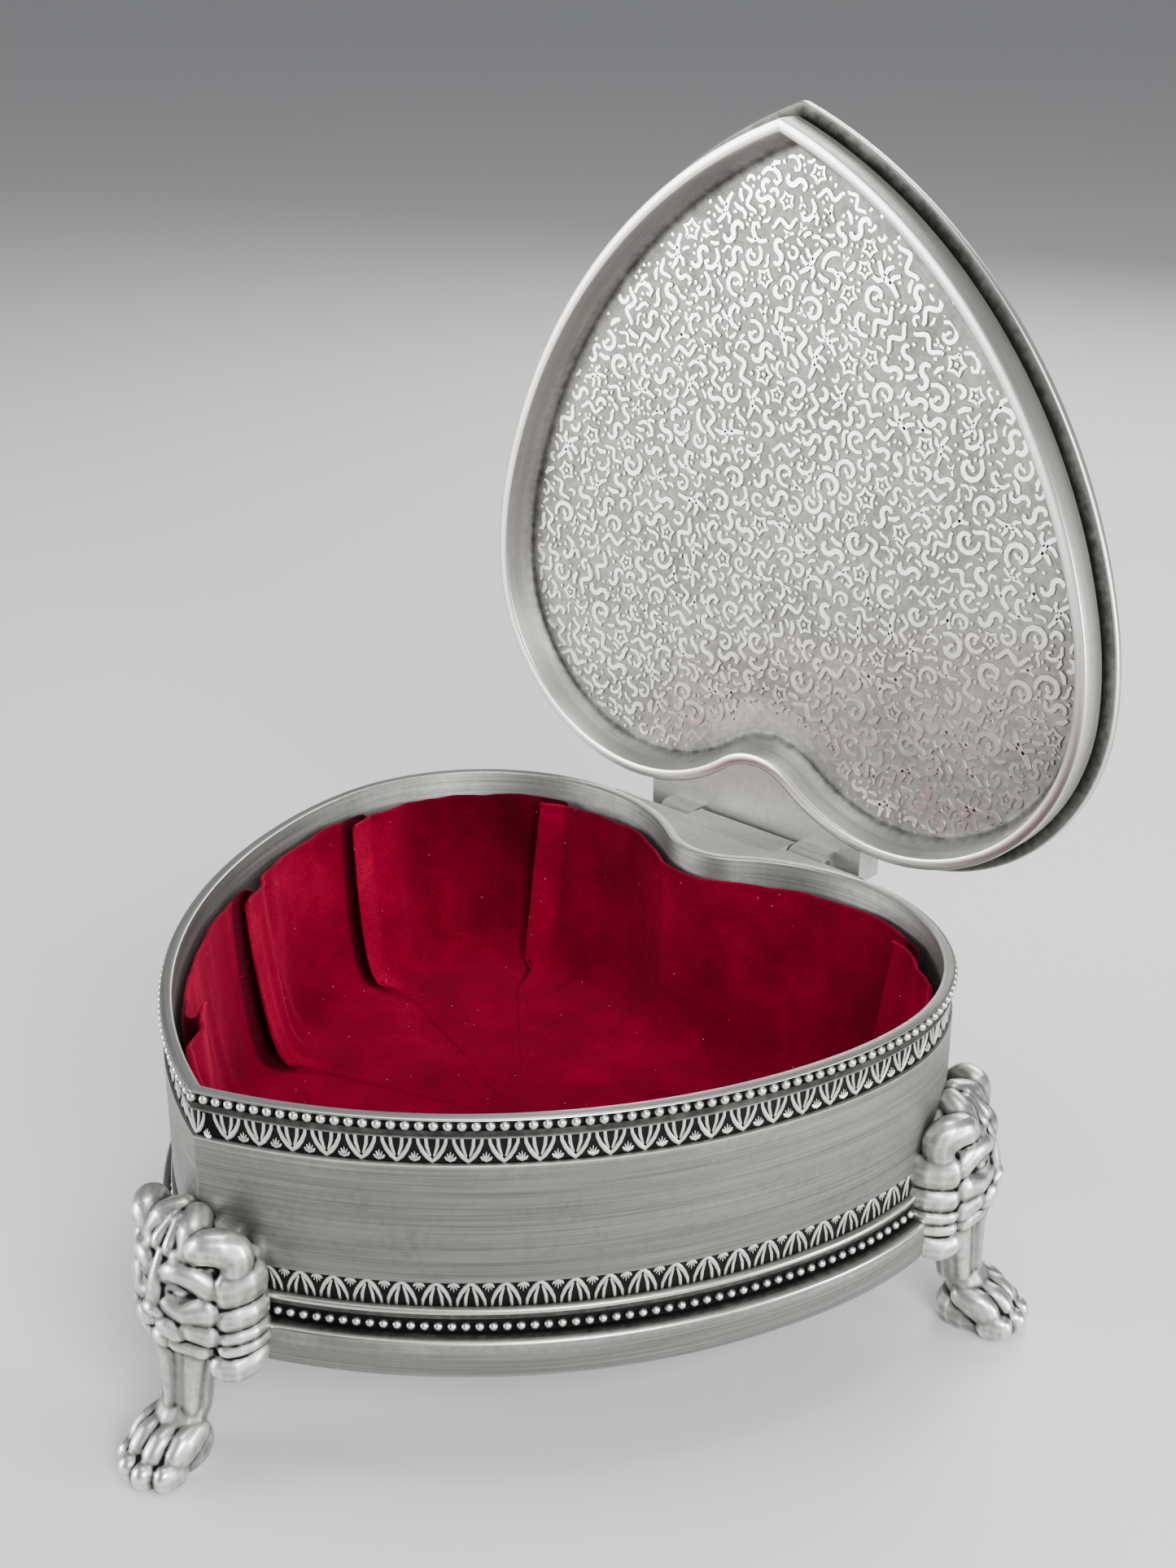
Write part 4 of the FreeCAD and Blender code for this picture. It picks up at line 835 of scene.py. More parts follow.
def pack_scrolls(motifs):
    """Place motifs over the lid, large before small, with a narrow gap between strokes."""
    rng = random.Random(SCROLL_SEED)
    cell, gap = SCROLL_CELL, SCROLL_GAP
    low = np.array([-70.0, -92.0])
    taken = np.zeros((720, 700), dtype=bool)
    reach = int(gap / cell)
    ring = [(i, j) for i in range(-reach - 1, reach + 2) for j in range(-reach - 1, reach + 2)
            if math.hypot(i, j) * cell <= gap + 0.08]
    cells = np.argwhere(~taken) * cell + low
    taken[~inside_heart(cells, 5.2).reshape(taken.shape)] = True
    covers = [footprint(m) for m in motifs]
    # which motifs, their size and how many tries
    large, small = (0, 1, 2, 12, 13), (4, 5, 6, 10)
    plans = [((3,), 1.0, 60), (large, 1.0, 5200), ((11, 7, 3), 1.0, 900), (large, 0.8, 9000),
             ((4, 5, 6, 9, 10), 1.0, 14000), (small, 0.72, 20000), ((8,), 0.9, 12000)]
    placed = []
    for kinds, scale, tries in plans:
        for _ in range(tries):
            x, y = rng.uniform(-66, 66), rng.uniform(-88, 38)
            kind, turn = rng.choice(kinds), rng.uniform(0, 2 * math.pi)
            size = scale * rng.uniform(0.88, 1.12)
            i, j = int((x - low[0]) / cell), int((y - low[1]) / cell)
            if taken[i, j] and kind != 0:
                continue
            c, n = math.cos(turn) * size, math.sin(turn) * size
            spots = covers[kind] @ np.array([[c, n], [-n, c]]) + (x, y)
            grid = ((spots - low) / cell).astype(int)
            if taken[grid[:, 0], grid[:, 1]].any():
                continue
            for di, dj in ring:
                taken[grid[:, 0] + di, grid[:, 1] + dj] = True
            placed.append((x, y, kind, turn, size))
    return placed


def scatter_tree(count):
    """Geometry Nodes: motifs picked, turned and sized by attributes of the points."""
    tree = bpy.data.node_groups.new("motif scatter", "GeometryNodeTree")
    tree.interface.new_socket(name="Points", in_out="INPUT", socket_type="NodeSocketGeometry")
    for i in range(count):
        tree.interface.new_socket(name="Motif %d" % i, in_out="INPUT", socket_type="NodeSocketObject")
    tree.interface.new_socket(name="Metal", in_out="INPUT", socket_type="NodeSocketMaterial")
    tree.interface.new_socket(name="Relief", in_out="OUTPUT", socket_type="NodeSocketGeometry")
    gin = tree.nodes.new("NodeGroupInput")
    gout = tree.nodes.new("NodeGroupOutput")
    pool = tree.nodes.new("GeometryNodeGeometryToInstance")
    for i in reversed(range(count)):
        info = add(tree, "GeometryNodeObjectInfo", None, Object=gin.outputs["Motif %d" % i])
        tree.links.new(info.outputs["Geometry"], pool.inputs[0])
    pick = add(tree, "GeometryNodeInputNamedAttribute", {"data_type": "INT"}, Name="motif")
    turn = add(tree, "GeometryNodeInputNamedAttribute", {"data_type": "FLOAT"}, Name="turn")
    size = add(tree, "GeometryNodeInputNamedAttribute", {"data_type": "FLOAT"}, Name="size")
    spin = add(tree, "ShaderNodeCombineXYZ", None, Z=turn.outputs["Attribute"])
    copies = add(tree, "GeometryNodeInstanceOnPoints", None, Points=gin.outputs["Points"],
                 Instance=pool.outputs[0], Rotation=spin.outputs[0], Scale=size.outputs["Attribute"],
                 Instance_Index=pick.outputs["Attribute"])
    copies.inputs["Pick Instance"].default_value = True
    real = add(tree, "GeometryNodeRealizeInstances", None, Geometry=copies.outputs[0])
    coat = add(tree, "GeometryNodeSetMaterial", None, Geometry=real.outputs[0],
               Material=gin.outputs["Metal"])
    tree.links.new(coat.outputs[0], gout.inputs[0])
    return tree


def inside_heart(points, inset):
    """Which of the points (n, 2) lie inside the outline moved in by inset."""
    outline = heart(-inset)
    inside = np.zeros(len(points), dtype=bool)
    for a, b in zip(outline, np.roll(outline, -1, 0)):
        crosses = (a[1] > points[:, 1]) != (b[1] > points[:, 1])
        at = (b[0] - a[0]) * (points[:, 1] - a[1]) / (b[1] - a[1] + 1e-12) + a[0]
        inside ^= crosses & (points[:, 0] < at)
    return inside


def build_relief():
    """Embossed scrolls, flowers and dots over the lid's inside."""
    motifs = scroll_motifs()
    placed = pack_scrolls(motifs)
    mesh = bpy.data.meshes.new("lid_relief")
    ceiling = LID_Z + LID_INNER_DEPTH
    verts = [(x * MM, (y + WIDEST_Y) * MM, (ceiling + lid_dish(x, y)) * MM) for x, y, *_ in placed]
    mesh.from_pydata(verts, [], [])
    for label, kind, column in (("motif", "INT", 2), ("turn", "FLOAT", 3), ("size", "FLOAT", 4)):
        layer = mesh.attributes.new(label, kind, "POINT")
        layer.data.foreach_set("value", [p[column] for p in placed])
    relief = link(bpy.data.objects.new("lid_relief", mesh))
    templates = []
    for i, strokes in enumerate(motifs):
        verts, faces, wear_and_shade = join_parts([stroke(path, widths) for path, widths in strokes])
        templates.append(motif_object("scroll %d" % i, [(x, y, -z) for x, y, z in verts], faces, wear_and_shade))
    inputs = {"Motif %d" % i: t for i, t in enumerate(templates)}
    bake(relief, scatter_tree(len(motifs)), Metal=painted_light_emboss_metal, **inputs)
    for t in templates:
        bpy.data.objects.remove(t)
    open_lid(relief)
    finish_piece(relief, painted_light_emboss_metal, "lid", "pewter")


# ------------------------------------------------------------ legs
LEG_SKIN = 0.30                 # cell of the skin drawn over a leg's rounded solids


def ball(centre, semi, square=1.0, sides=14, rings=9):
    """Closed rounded solid; square below 1 makes it boxier."""
    def soft(value):
        return math.copysign(abs(value) ** square, value)

    verts = [(centre[0], centre[1], centre[2] + semi[2])]
    for i in range(1, rings):
        a = math.pi * i / rings
        for k in range(sides):
            b = 2 * math.pi * k / sides
            verts.append((centre[0] + semi[0] * soft(math.sin(a)) * soft(math.cos(b)),
                          centre[1] + semi[1] * soft(math.sin(a)) * soft(math.sin(b)),
                          centre[2] + semi[2] * soft(math.cos(a))))
    verts.append((centre[0], centre[1], centre[2] - semi[2]))
    return verts, globe_faces(sides, rings), [0.5] * len(verts)


def roll(points, semis, square=1.0):
    """Rounded strand: overlapping balls along a smooth line through the points."""
    parts = []
    points, semis = np.array(points, float), np.array(semis, float)
    if semis.ndim == 1:
        semis = np.stack([semis] * 3, 1)
    for i in range(len(points) - 1):
        before, after = points[max(i - 1, 0)], points[min(i + 2, len(points) - 1)]
        steps = max(3, int(np.linalg.norm(points[i + 1] - points[i]) / (0.2 * semis[i].min())))
        for k in range(steps + (i == len(points) - 2)):
            t = k / steps
            here = 0.5 * (2 * points[i] + (points[i + 1] - before) * t
                          + (2 * before - 5 * points[i] + 4 * points[i + 1] - after) * t * t
                          + (3 * points[i] - before - 3 * points[i + 1] + after) * t ** 3)
            parts.append(ball(here, semis[i] * (1 - t) + semis[i + 1] * t, square, 12, 7))
    return parts


def mane(side):
    """One side's column of mane rolls, from the comma at the top to the ball below."""
    y = float(side)
    parts = []
    parts += roll([(5.2, 5.6 * y, 42.2), (4.4, 7.4 * y, 43.4), (2.6, 9.2 * y, 43.2), (1.2, 10.4 * y, 41.8),
                   (1.4, 10.6 * y, 40.0)],
                  [(2.2, 2.2, 2.3), (2.8, 2.6, 2.9), (3.1, 2.8, 3.2), (3.1, 2.6, 3.1), (2.8, 2.4, 2.6)], 0.96)
    parts += roll([(-1.8, 9.2 * y, 38.5), (-1.2, 9.9 * y, 32), (-1.4, 9.4 * y, 21)],
                  [(3.0, 2.2, 3), (3.6, 2.4, 3), (3.2, 2.2, 3)])
    for z, half, wide in ((36.4, 3.5, 0.1), (31.3, 2.6, 0.2), (28.0, 1.6, 0.25), (25.6, 1.6, 0.1)):
        parts += roll([(3.4, 10.2 * y, z - 0.2), (1.9, 10.9 * y, z), (0.2, 11.2 * y, z + 0.1),
                       (-1.8, 11.0 * y, z)],
                      [(2.1, 1.8, half * 0.92), (2.3, 2.1 + wide, half), (2.3, 2.2 + wide, half),
                       (2.2, 2.0, half)], 0.93)
    parts += roll([(3.6, 9.0 * y, 21.6), (2.2, 10.2 * y, 21.4), (0.4, 11.0 * y, 22.0),
                   (-1.4, 11.0 * y, 22.8)],
                  [(2.7, 2.4, 2.7), (3.0, 2.7, 2.9), (2.7, 2.4, 2.7), (2.2, 2.0, 2.2)], 0.95)
    return parts


def face(side):
    """Half of the lion's face: tufts, brow, eye, cheeks and chin."""
    y = float(side)
    parts = []
    parts += roll([(1.4, 1.6 * y, 44.8), (3.6, 3.4 * y, 43.6), (5.6, 4.6 * y, 41.2)],
                  [(2.4, 2.5, 2.4), (2.8, 2.9, 2.8), (2.0, 2.1, 2.0)])
    parts += roll([(3.6, 0.7 * y, 44.0), (6.2, 1.4 * y, 41.6)], [(2.2, 1.5, 2.4), (2.0, 1.6, 2.2)])
    parts.append(ball((5.8, 3.0 * y, 40.6), (2.4, 2.6, 2.2)))
    parts += roll([(7.9, 1.3 * y, 37.2), (7.6, 3.4 * y, 38.8), (6.2, 5.8 * y, 38.4), (4.6, 8.0 * y, 36.4)],
                  [(1.4, 1.5, 1.4), (1.9, 2.2, 1.9), (2.2, 2.4, 2.3), (2.2, 2.2, 2.6)], 0.95)
    parts.append(ball((7.3, 3.9 * y, 35.5), (1.3, 1.7, 1.1)))
    parts += roll([(8.5, 1.9 * y, 35.2), (8.0, 3.9 * y, 36.6), (6.2, 6.3 * y, 35.4)], [0.5, 0.65, 0.5])
    parts += roll([(8.6, 1.9 * y, 34.8), (8.1, 3.9 * y, 34.0), (6.2, 6.4 * y, 34.6)], [0.5, 0.65, 0.5])
    parts += roll([(8.6, 2.2 * y, 32.8), (7.2, 4.6 * y, 31.8), (5.2, 7.8 * y, 32.6)],
                  [(1.5, 1.6, 1.5), (2.3, 2.8, 2.2), (2.5, 2.6, 2.9)], 0.95)
    parts += roll([(8.8, 2.4 * y, 29.2), (8.2, 3.4 * y, 28.4)], [(2.3, 2.5, 2.3), (2.3, 2.5, 2.2)], 0.95)
    parts += roll([(6.8, 5.6 * y, 29.2), (5.2, 7.8 * y, 28.4)], [(2.4, 2.6, 2.5), (2.4, 2.5, 2.7)], 0.93)
    parts += roll([(7.2, 2.8 * y, 25.4), (5.4, 5.8 * y, 24.8)], [(2.3, 2.5, 2.1), (2.4, 2.6, 2.3)], 0.95)
    parts.append(ball((9.9, 1.5 * y, 31.3), (1.1, 1.1, 0.9)))
    return parts


def paw(side):
    """Half of the foot: two segments to each toe."""
    y = float(side)
    parts = []
    for across, out, wide in ((1.7, 0.7, 1.8), (4.5, -1.3, 1.7)):
        parts += roll([(8.2 + out, across * y * 0.85, 7.4), (10.6 + out, across * y * 0.97, 6.4),
                       (12.4 + out, across * y, 5.0)],
                      [(2.5, wide * 1.15, 2.4), (2.8, wide * 1.25, 2.7), (2.4, wide * 1.2, 2.4)], 0.9)
        parts += roll([(13.0 + out, across * y * 1.02, 2.9), (14.6 + out, across * y * 1.04, 2.6)],
                      [(2.3, wide * 1.2, 2.8), (2.7, wide * 1.15, 2.6)], 0.88)
    return parts


def leg_parts():
    parts = [ball((0.4, 0, 32.5), (7.4, 11.0, 12.6), 0.82), ball((3.2, 0, 30), (5.6, 9.0, 8.6), 0.88),
             ball((2.2, 0, 39.8), (4.8, 7.0, 5.6), 0.9), ball((4.2, 0, 25.5), (4.4, 6.4, 4.6))]
    parts += roll([(7.0, 0, 40.0), (8.5, 0, 36.6), (9.4, 0, 32.8)],
                  [(1.5, 1.2, 1.8), (1.6, 1.4, 1.8), (1.5, 1.9, 1.4)], 0.92)
    parts += [ball((10.2, 0, 31.7), (1.3, 1.9, 1.1), 0.9), ball((7.6, 0, 25.4), (2.6, 2.8, 2.2))]
    parts += roll([(3.4, 0, 25), (4.2, 0, 17), (4.8, 0, 10.5)],
                  [(5.0, 6.2, 3), (4.2, 4.9, 3), (3.9, 4.3, 3)])
    parts += roll([(5.0, 0, 11.0), (7.4, 0, 7.4)], [(3.8, 4.3, 2.8), (4.0, 5.2, 3.2)])
    parts.append(ball((8.4, 0, 3.4), (7.0, 5.3, 5.0), 0.92))
    for turn in (-62, -6, 55):
        c, n = math.cos(math.radians(turn)), math.sin(math.radians(turn))
        parts += roll([(3.4 + 4.1 * c, 5.1 * n, 23.5), (4.2 + 3.2 * c, 3.8 * n, 16.5),
                       (4.8 + 3.0 * c, 3.5 * n, 11.0)],
                      [1.9, 1.7, 1.4])
    for side in (-1, 1):
        parts += mane(side) + face(side) + paw(side)
    return parts


def leg_mesh():
    """The leg and lion's mask as one skin, with dark hollows and worn ridges marked."""
    verts, faces, _ = join_parts(leg_parts())
    raw = new_object("leg clay", verts, faces)
    outward(raw)
    remesh = raw.modifiers.new("skin", "REMESH")
    remesh.mode = "VOXEL"
    remesh.voxel_size = LEG_SKIN * MM
    apply_modifiers(raw)
    mesh = raw.data
    bpy.data.objects.remove(raw)
    edges = read_array(mesh.edges, "vertices", 2, np.int64)
    points = relax(read_array(mesh.vertices, "co", 3) / MM, edges, 2)
    points[:, 2] = np.maximum(points[:, 2], 0.0)
    put_points(mesh, points)
    normals = read_array(mesh.vertices, "normal", 3)
    near = ((relax(points, edges, 6) - points) * normals).sum(1)
    far = ((relax(points, edges, 40) - points) * normals).sum(1)
    wear_and_shade = np.clip(0.50 - 3.6 * near - 0.75 * far, 0.0, 1.0)
    mark_wear_and_shade(mesh, wear_and_shade)
    return mesh


def relax(points, edges, times):
    count = np.bincount(edges.ravel(), minlength=len(points)).astype(float)[:, None]
    count[count == 0] = 1
    for _ in range(times):
        total = np.zeros_like(points)
        for axis in range(3):
            total[:, axis] = (np.bincount(edges[:, 0], points[edges[:, 1], axis], len(points))
                              + np.bincount(edges[:, 1], points[edges[:, 0], axis], len(points)))
        points = points * 0.4 + 0.6 * total / count
    return points


def put_points(mesh, points):
    mesh.vertices.foreach_set("co", (points * MM).astype(np.float32).ravel())
    mesh.update()


def proud_of_wall(x, y, at_tip):
    """Distance outside the wall, and the way out, near a leg."""
    if at_tip:
        cx, cy, radius = np.where(x > 0, SIDE_X, -SIDE_X), SIDE_Y, SIDE_RADIUS
    else:
        cx, cy, radius = np.where(x > 0, LOBE_X, -LOBE_X), 0.0, LOBE_RADIUS
    dx, dy = x - cx, y - cy
    reach = np.hypot(dx, dy)
    return reach - radius, dx / reach, dy / reach


def build_legs():
    shared = leg_mesh()
    base = read_array(shared.vertices, "co", 3) / MM
    lobe = (LOBE_X + LOBE_RADIUS * math.cos(LEG_TURN), LOBE_RADIUS * math.sin(LEG_TURN))
    places = (("front_leg", (0.0, -TIP_REACH), -math.pi / 2), ("right_leg", lobe, LEG_TURN),
              ("left_leg", (-lobe[0], lobe[1]), math.pi - LEG_TURN))
    for node, (fx, fy), turn in places:
        c, n = math.cos(turn), math.sin(turn)
        x = fx + base[:, 0] * c - base[:, 1] * n
        y = fy + base[:, 0] * n + base[:, 1] * c
        out, nx, ny = proud_of_wall(x, y, node == "front_leg")
        push = np.where(base[:, 2] > 12.0, np.maximum(0.0, -0.9 - out), 0.0)
        points = np.stack([x + nx * push, y + ny * push + WIDEST_Y, base[:, 2]], 1)
        mesh = shared.copy()
        mesh.name = node + "_cast"
        put_points(mesh, points)
        leg = link(bpy.data.objects.new(node + "_cast", mesh))
        smooth(mesh, 180)
        finish_piece(leg, leg_metal, "box", "pewter", node)
    bpy.data.meshes.remove(shared)


# ------------------------------------------------------------ velvet
# pleats: where on the outline, which way the panel lies, depth at the top and at the foot, reach, lean
PLEATS = [((-64.5, -4.5), -1, 2.4, 3.6, 7.0, 0.4), ((-43.4, 29.3), -1, 2.2, 3.8, 11.0, 2.4),
          ((-51.4, -40.9), -1, 2.8, 4.6, 3.5, 0.0), ((-28.0, -70.0), 1, 3.0, 3.4, 5.0, 0.0),
          ((46.0, 30.0), -1, 2.0, 3.6, 10.0, 3.5), ((30.0, -66.0), 1, 1.5, 1.5, 8.0, 0.0)]
# soft folds: where on the outline, height and width
FOLDS = [((-20.0, 33.0), 0.4, 5.0), ((-57.5, -28.0), 1.0, 2.6), ((-68.0, 8.0), 0.9, 2.5),
         ((-60.0, 18.0), 0.8, 2.4), ((64.0, -22.0), 0.9, 3.0), ((50.0, -45.0), 0.8, 3.0)]
# the cloth turning under itself at a pleat: along the wall, share of its depth, lift
TUCK = [(-2.4, 0.0, 0.0), (-1.0, 0.0, 0.0), (0.6, 0.0, 0.02), (2.6, 0.0, 0.05), (4.2, 0.0, 0.12),
        (5.0, 0.0, 0.35), (5.3, 0.2, 0.3), (5.1, 0.45, 0.2), (4.2, 0.66, 0.05), (2.8, 0.8, 0.0),
        (1.4, 0.9, -0.1), (0.5, 0.94, -0.1), (0.05, 0.97, 0.0), (-0.15, 1.0, 0.1), (-0.12, 1.0, 0.35),
        (0.15, 1.0, 0.42), (0.6, 1.0, 0.42), (1.4, 1.0, 0.36), (2.4, 1.0, 0.26), (3.6, 1.0, 0.16),
        (4.8, 1.0, 0.06)]
PANEL = 8.0                     # flat width of a pleat's panel before it dies away
LINING_STEP = 1.1
TUCK_BEFORE, TUCK_AFTER = 3.0, 5.6     # length of wall that a tuck takes over
CLOTH = 0.5                     # thickness of the velvet


def nearest_run(points, runs, spot):
    return runs[int(np.argmin(np.hypot(points[:, 0] - spot[0], points[:, 1] - spot[1])))]


def velvet_stations(total, pleats):
    """Runs along the wall with, at each pleat, the cloth turned under itself."""
    stations = [(s, 0.0, 0.0, -1) for s in np.arange(0.0, total - 0.3, LINING_STEP)]
    for i, (run, way, *_) in enumerate(pleats):
        stations = [p for p in stations if not -TUCK_BEFORE < (p[0] - run) * way < TUCK_AFTER]
        spot = sum(1 for p in stations if p[0] < run)
        extra = [(run + way * ds, share, lift, i) for ds, share, lift in TUCK]
        stations[spot:spot] = extra if way > 0 else extra[::-1]
    return [np.array(column) for column in zip(*stations)]


def lining_levels():
    """Rows from the top edge down the wall and out over the floor: depth share, inset, flatness."""
    rows = np.array([(0.0, 0.5, 0.0), (0.012, 0.1, 0.0), (0.04, 0.0, 0.0), (0.10, 0.05, 0.0), (0.2, 0.2, 0.0),
                     (0.35, 0.5, 0.0), (0.5, 0.9, 0.0), (0.66, 1.4, 0.0), (0.80, 2.1, 0.0), (0.90, 3.1, 0.0),
                     (0.965, 4.5, 0.05), (0.992, 6.2, 0.2), (1.0, 8.4, 0.45), (1.0, 11.0, 0.7),
                     (1.0, 14.0, 0.9), (1.0, 18.0, 1.0)])
    place = np.arange(len(rows))
    fine = np.concatenate([place[:3], np.arange(3, len(rows) - 0.9, 0.5)])
    return np.stack([np.interp(fine, place, rows[:, c]) for c in range(3)], 1)


def build_lining():
    """One piece of velvet pushed into the heart, pleated where it has too much cloth."""
    outline = heart(-VELVET_INSET, fine=3)
    runs = path_lengths(outline)
    total = runs[-1]
    closed = np.concatenate([outline, outline[:1]])
    pleats = [(nearest_run(outline, runs, spot), *shape) for spot, *shape in PLEATS]
    folds = [(nearest_run(outline, runs, spot), high, wide) for spot, high, wide in FOLDS]
    run, share, lift, own = velvet_stations(total, pleats)
    unfolded = np.sort(run)

    def on_outline(s):
        s = s % total
        return np.stack([np.interp(s, runs, closed[:, 0]), np.interp(s, runs, closed[:, 1])], 1)

    top, drop = RIM_Z - VELVET_DROP, RIM_Z - VELVET_DROP - FLOOR_Z
    rows, painted_light_rows = [], []
    for down, inset, flat in lining_levels():
        s = run + (unfolded - run) * min(1.0, flat * 2.2)
        for at, way, *_, lean in pleats:
            off = (run - at + total / 2) % total - total / 2
            s = s - way * lean * min(1.0, 1.2 * down) * (1 - flat) * np.exp(-(off / 9.0) ** 2)
        along = on_outline(s + 1.2) - on_outline(s - 1.2)
        along /= np.linalg.norm(along, axis=1)[:, None]
        inward = np.stack([-along[:, 1], along[:, 0]], 1)
        deep = 0.35 * np.sin(s * 0.21 + 1.1) * (0.3 + down) + 0.22 * np.sin(s * 0.57 + down * 2)
        deep += 0.10 * np.sin(s * 1.3 + down * 7)
        for i, (at, way, high, foot, reach, _) in enumerate(pleats):
            depth = high + (foot - high) * down
            off = ((run - at + total / 2) % total - total / 2) * way
            panel = depth * 0.9 * np.exp(-(np.maximum(0.0, off - PANEL) / reach) ** 2)
            deep += np.where(own == i, depth * share + lift, np.where(off > 0, panel, 0.0))
        for at, high, wide in folds:
            off = (s - at + total / 2) % total - total / 2
            deep += high * (0.35 + 0.9 * down) * np.exp(-(off / wide) ** 2)
        deep = np.maximum(0.0, deep)
        edge = (0.22 * np.sin(s * 0.13) + 0.14 * np.sin(s * 0.41 + 2)) if down < 0.03 else 0.0
        moved = inset + 0.25 + deep * (1.0 - flat)
        spot = on_outline(s) + inward * moved[:, None]
        lip = 0.30 * deep * flat * math.exp(-max(0.0, inset - 7.5) / 4.0)
        rows.append(np.stack([spot[:, 0], spot[:, 1] + WIDEST_Y, top - drop * down + edge + lip], 1))
        # painted light: cloth turned under a pleat is painted dark as painted shade, a pleat's crest is painted
        # bright as a painted highlight, panels standing proud are painted a little lighter, and shadow is a
        # painted shadow on the wall beside the second pleat
        under = (own >= 0) & (share < 0.96) & (lift != 0.0)
        crest = (own >= 0) & (share > 0.96)
        beside = (run - pleats[1][0] + total / 2) % total - total / 2
        shadow = 0.26 * np.exp(-(beside / 26.0) ** 2) * (1 - down ** 2)
        tone = np.where(under, 0.0, np.where(crest, 0.9, 0.5 + 0.05 * np.minimum(4.0, deep))) - shadow
        painted_light_rows.append(tone * (1 - flat) + 0.5 * flat)
    pole = np.array([0.0, WIDEST_Y - 20.0, FLOOR_Z + 0.45])
    steps = 16
    for i in range(1, steps):
        t = i / steps
        spot = rows[len(lining_levels()) - 1] * (1 - t) + pole * t
        wave = 0.4 * np.sin(spot[:, 0] * 0.17 + 0.4) * np.sin(spot[:, 1] * 0.14)
        wave += 0.2 * np.sin(spot[:, 0] * 0.4 + spot[:, 1] * 0.33)
        spot[:, 2] += wave * min(1.0, 2 * t)
        rows.append(spot)
    verts = [tuple(v) for row in rows for v in row] + [tuple(pole)]
    count = len(run)
    faces = funnel_faces(len(rows), count)
    # pile holds the painted shade and painted highlight of the folds, neutral over the floor; the velvet's colour
    # is multiplied by it
    pile = np.concatenate(painted_light_rows + [np.full(len(verts) - len(painted_light_rows) * count, 0.5)])
    lining = new_object("velvet_lining_cloth", verts, faces, pile, sharp=180)
    thicken(lining, CLOTH)
    finish_piece(lining, velvet, "box", "velvet", "velvet_lining")


def thicken(obj, thick):
    """Give a sheet its thickness on the side away from its faces."""
    modifier = obj.modifiers.new("thick", "SOLIDIFY")
    modifier.thickness = thick * MM
    modifier.offset = -1.0
    apply_modifiers(obj)


def subdivide(obj, levels):
    modifier = obj.modifiers.new("soft", "SUBSURF")
    modifier.levels = levels
    modifier.render_levels = levels
    apply_modifiers(obj)



COVER_TURN = math.radians(50)
COVER_HALF = (22.0, 19.5)


def build_cover_cloth():
    """Velvet draped over the movement's cover, soft at its edges."""
    low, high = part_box("cover_velvet")
    cx, cy = (low[0] + high[0]) / 2 / MM, (low[1] + high[1]) / 2 / MM
    crown = high[2] / MM
    profile = [(2.6, FLOOR_Z + 0.75), (1.3, FLOOR_Z + 0.95), (0.35, FLOOR_Z + 1.9), (0.0, FLOOR_Z + 4.5),
               (-0.15, crown - 6.0), (-0.35, crown - 2.8), (-0.95, crown - 0.9), (-2.3, crown + 0.05),
               (-5.0, crown + 0.4), (-10.0, crown + 0.55), (-15.0, crown + 0.6)]
    per_corner, corner = 6, 3.2
    verts = []
    for grow, z in profile:
        ring = []
        rounding = max(0.6, corner + grow)
        for quarter in range(4):
            sx, sy = (1, 1, -1, -1)[quarter], (-1, 1, 1, -1)[quarter]
            bx = sx * (COVER_HALF[0] + grow - rounding)
            by = sy * (COVER_HALF[1] + grow - rounding)
            start = -math.pi / 2 + quarter * math.pi / 2
            for k in range(per_corner):
                a = start + math.pi / 2 * k / (per_corner - 1)
                ring.append((bx + rounding * math.cos(a), by + rounding * math.sin(a)))
        ring = fill_sides(ring, per_corner)
        for k, (x, y) in enumerate(ring):
            wave = 0.25 * math.sin(k * 0.9 + z * 0.35)
            c, n = math.cos(COVER_TURN), math.sin(COVER_TURN)
            x, y = x * (1 + wave / 40), y * (1 + wave / 40)
            x, y = cx + x * c - y * n, cy + x * n + y * c
            out, nx, ny = proud_of_wall(np.array(x), np.array(y - WIDEST_Y), True)
            push = max(0.0, float(out) + VELVET_INSET + 1.6)
            verts.append((x - float(nx) * push, y - float(ny) * push, z))
    faces = funnel_faces(len(profile), len(verts) // len(profile))
    verts.append((cx, cy, crown + 0.6))
    cloth = new_object("movement_cover_cloth", verts, faces, [0.5] * len(verts), sharp=180)
    thicken(cloth, CLOTH)
    subdivide(cloth, 1)
    finish_piece(cloth, velvet, "box", "velvet", "cover_velvet")


def fill_sides(ring, per_corner, extra=5):
    """Put points along the straight sides between rounded corners."""
    filled = []
    for q in range(4):
        corner = ring[q * per_corner:(q + 1) * per_corner]
        after = ring[((q + 1) % 4) * per_corner]
        filled += corner
        x0, y0 = corner[-1]
        filled += [(x0 + (after[0] - x0) * k / (extra + 1), y0 + (after[1] - y0) * k / (extra + 1))
                   for k in range(1, extra + 1)]
    return filled


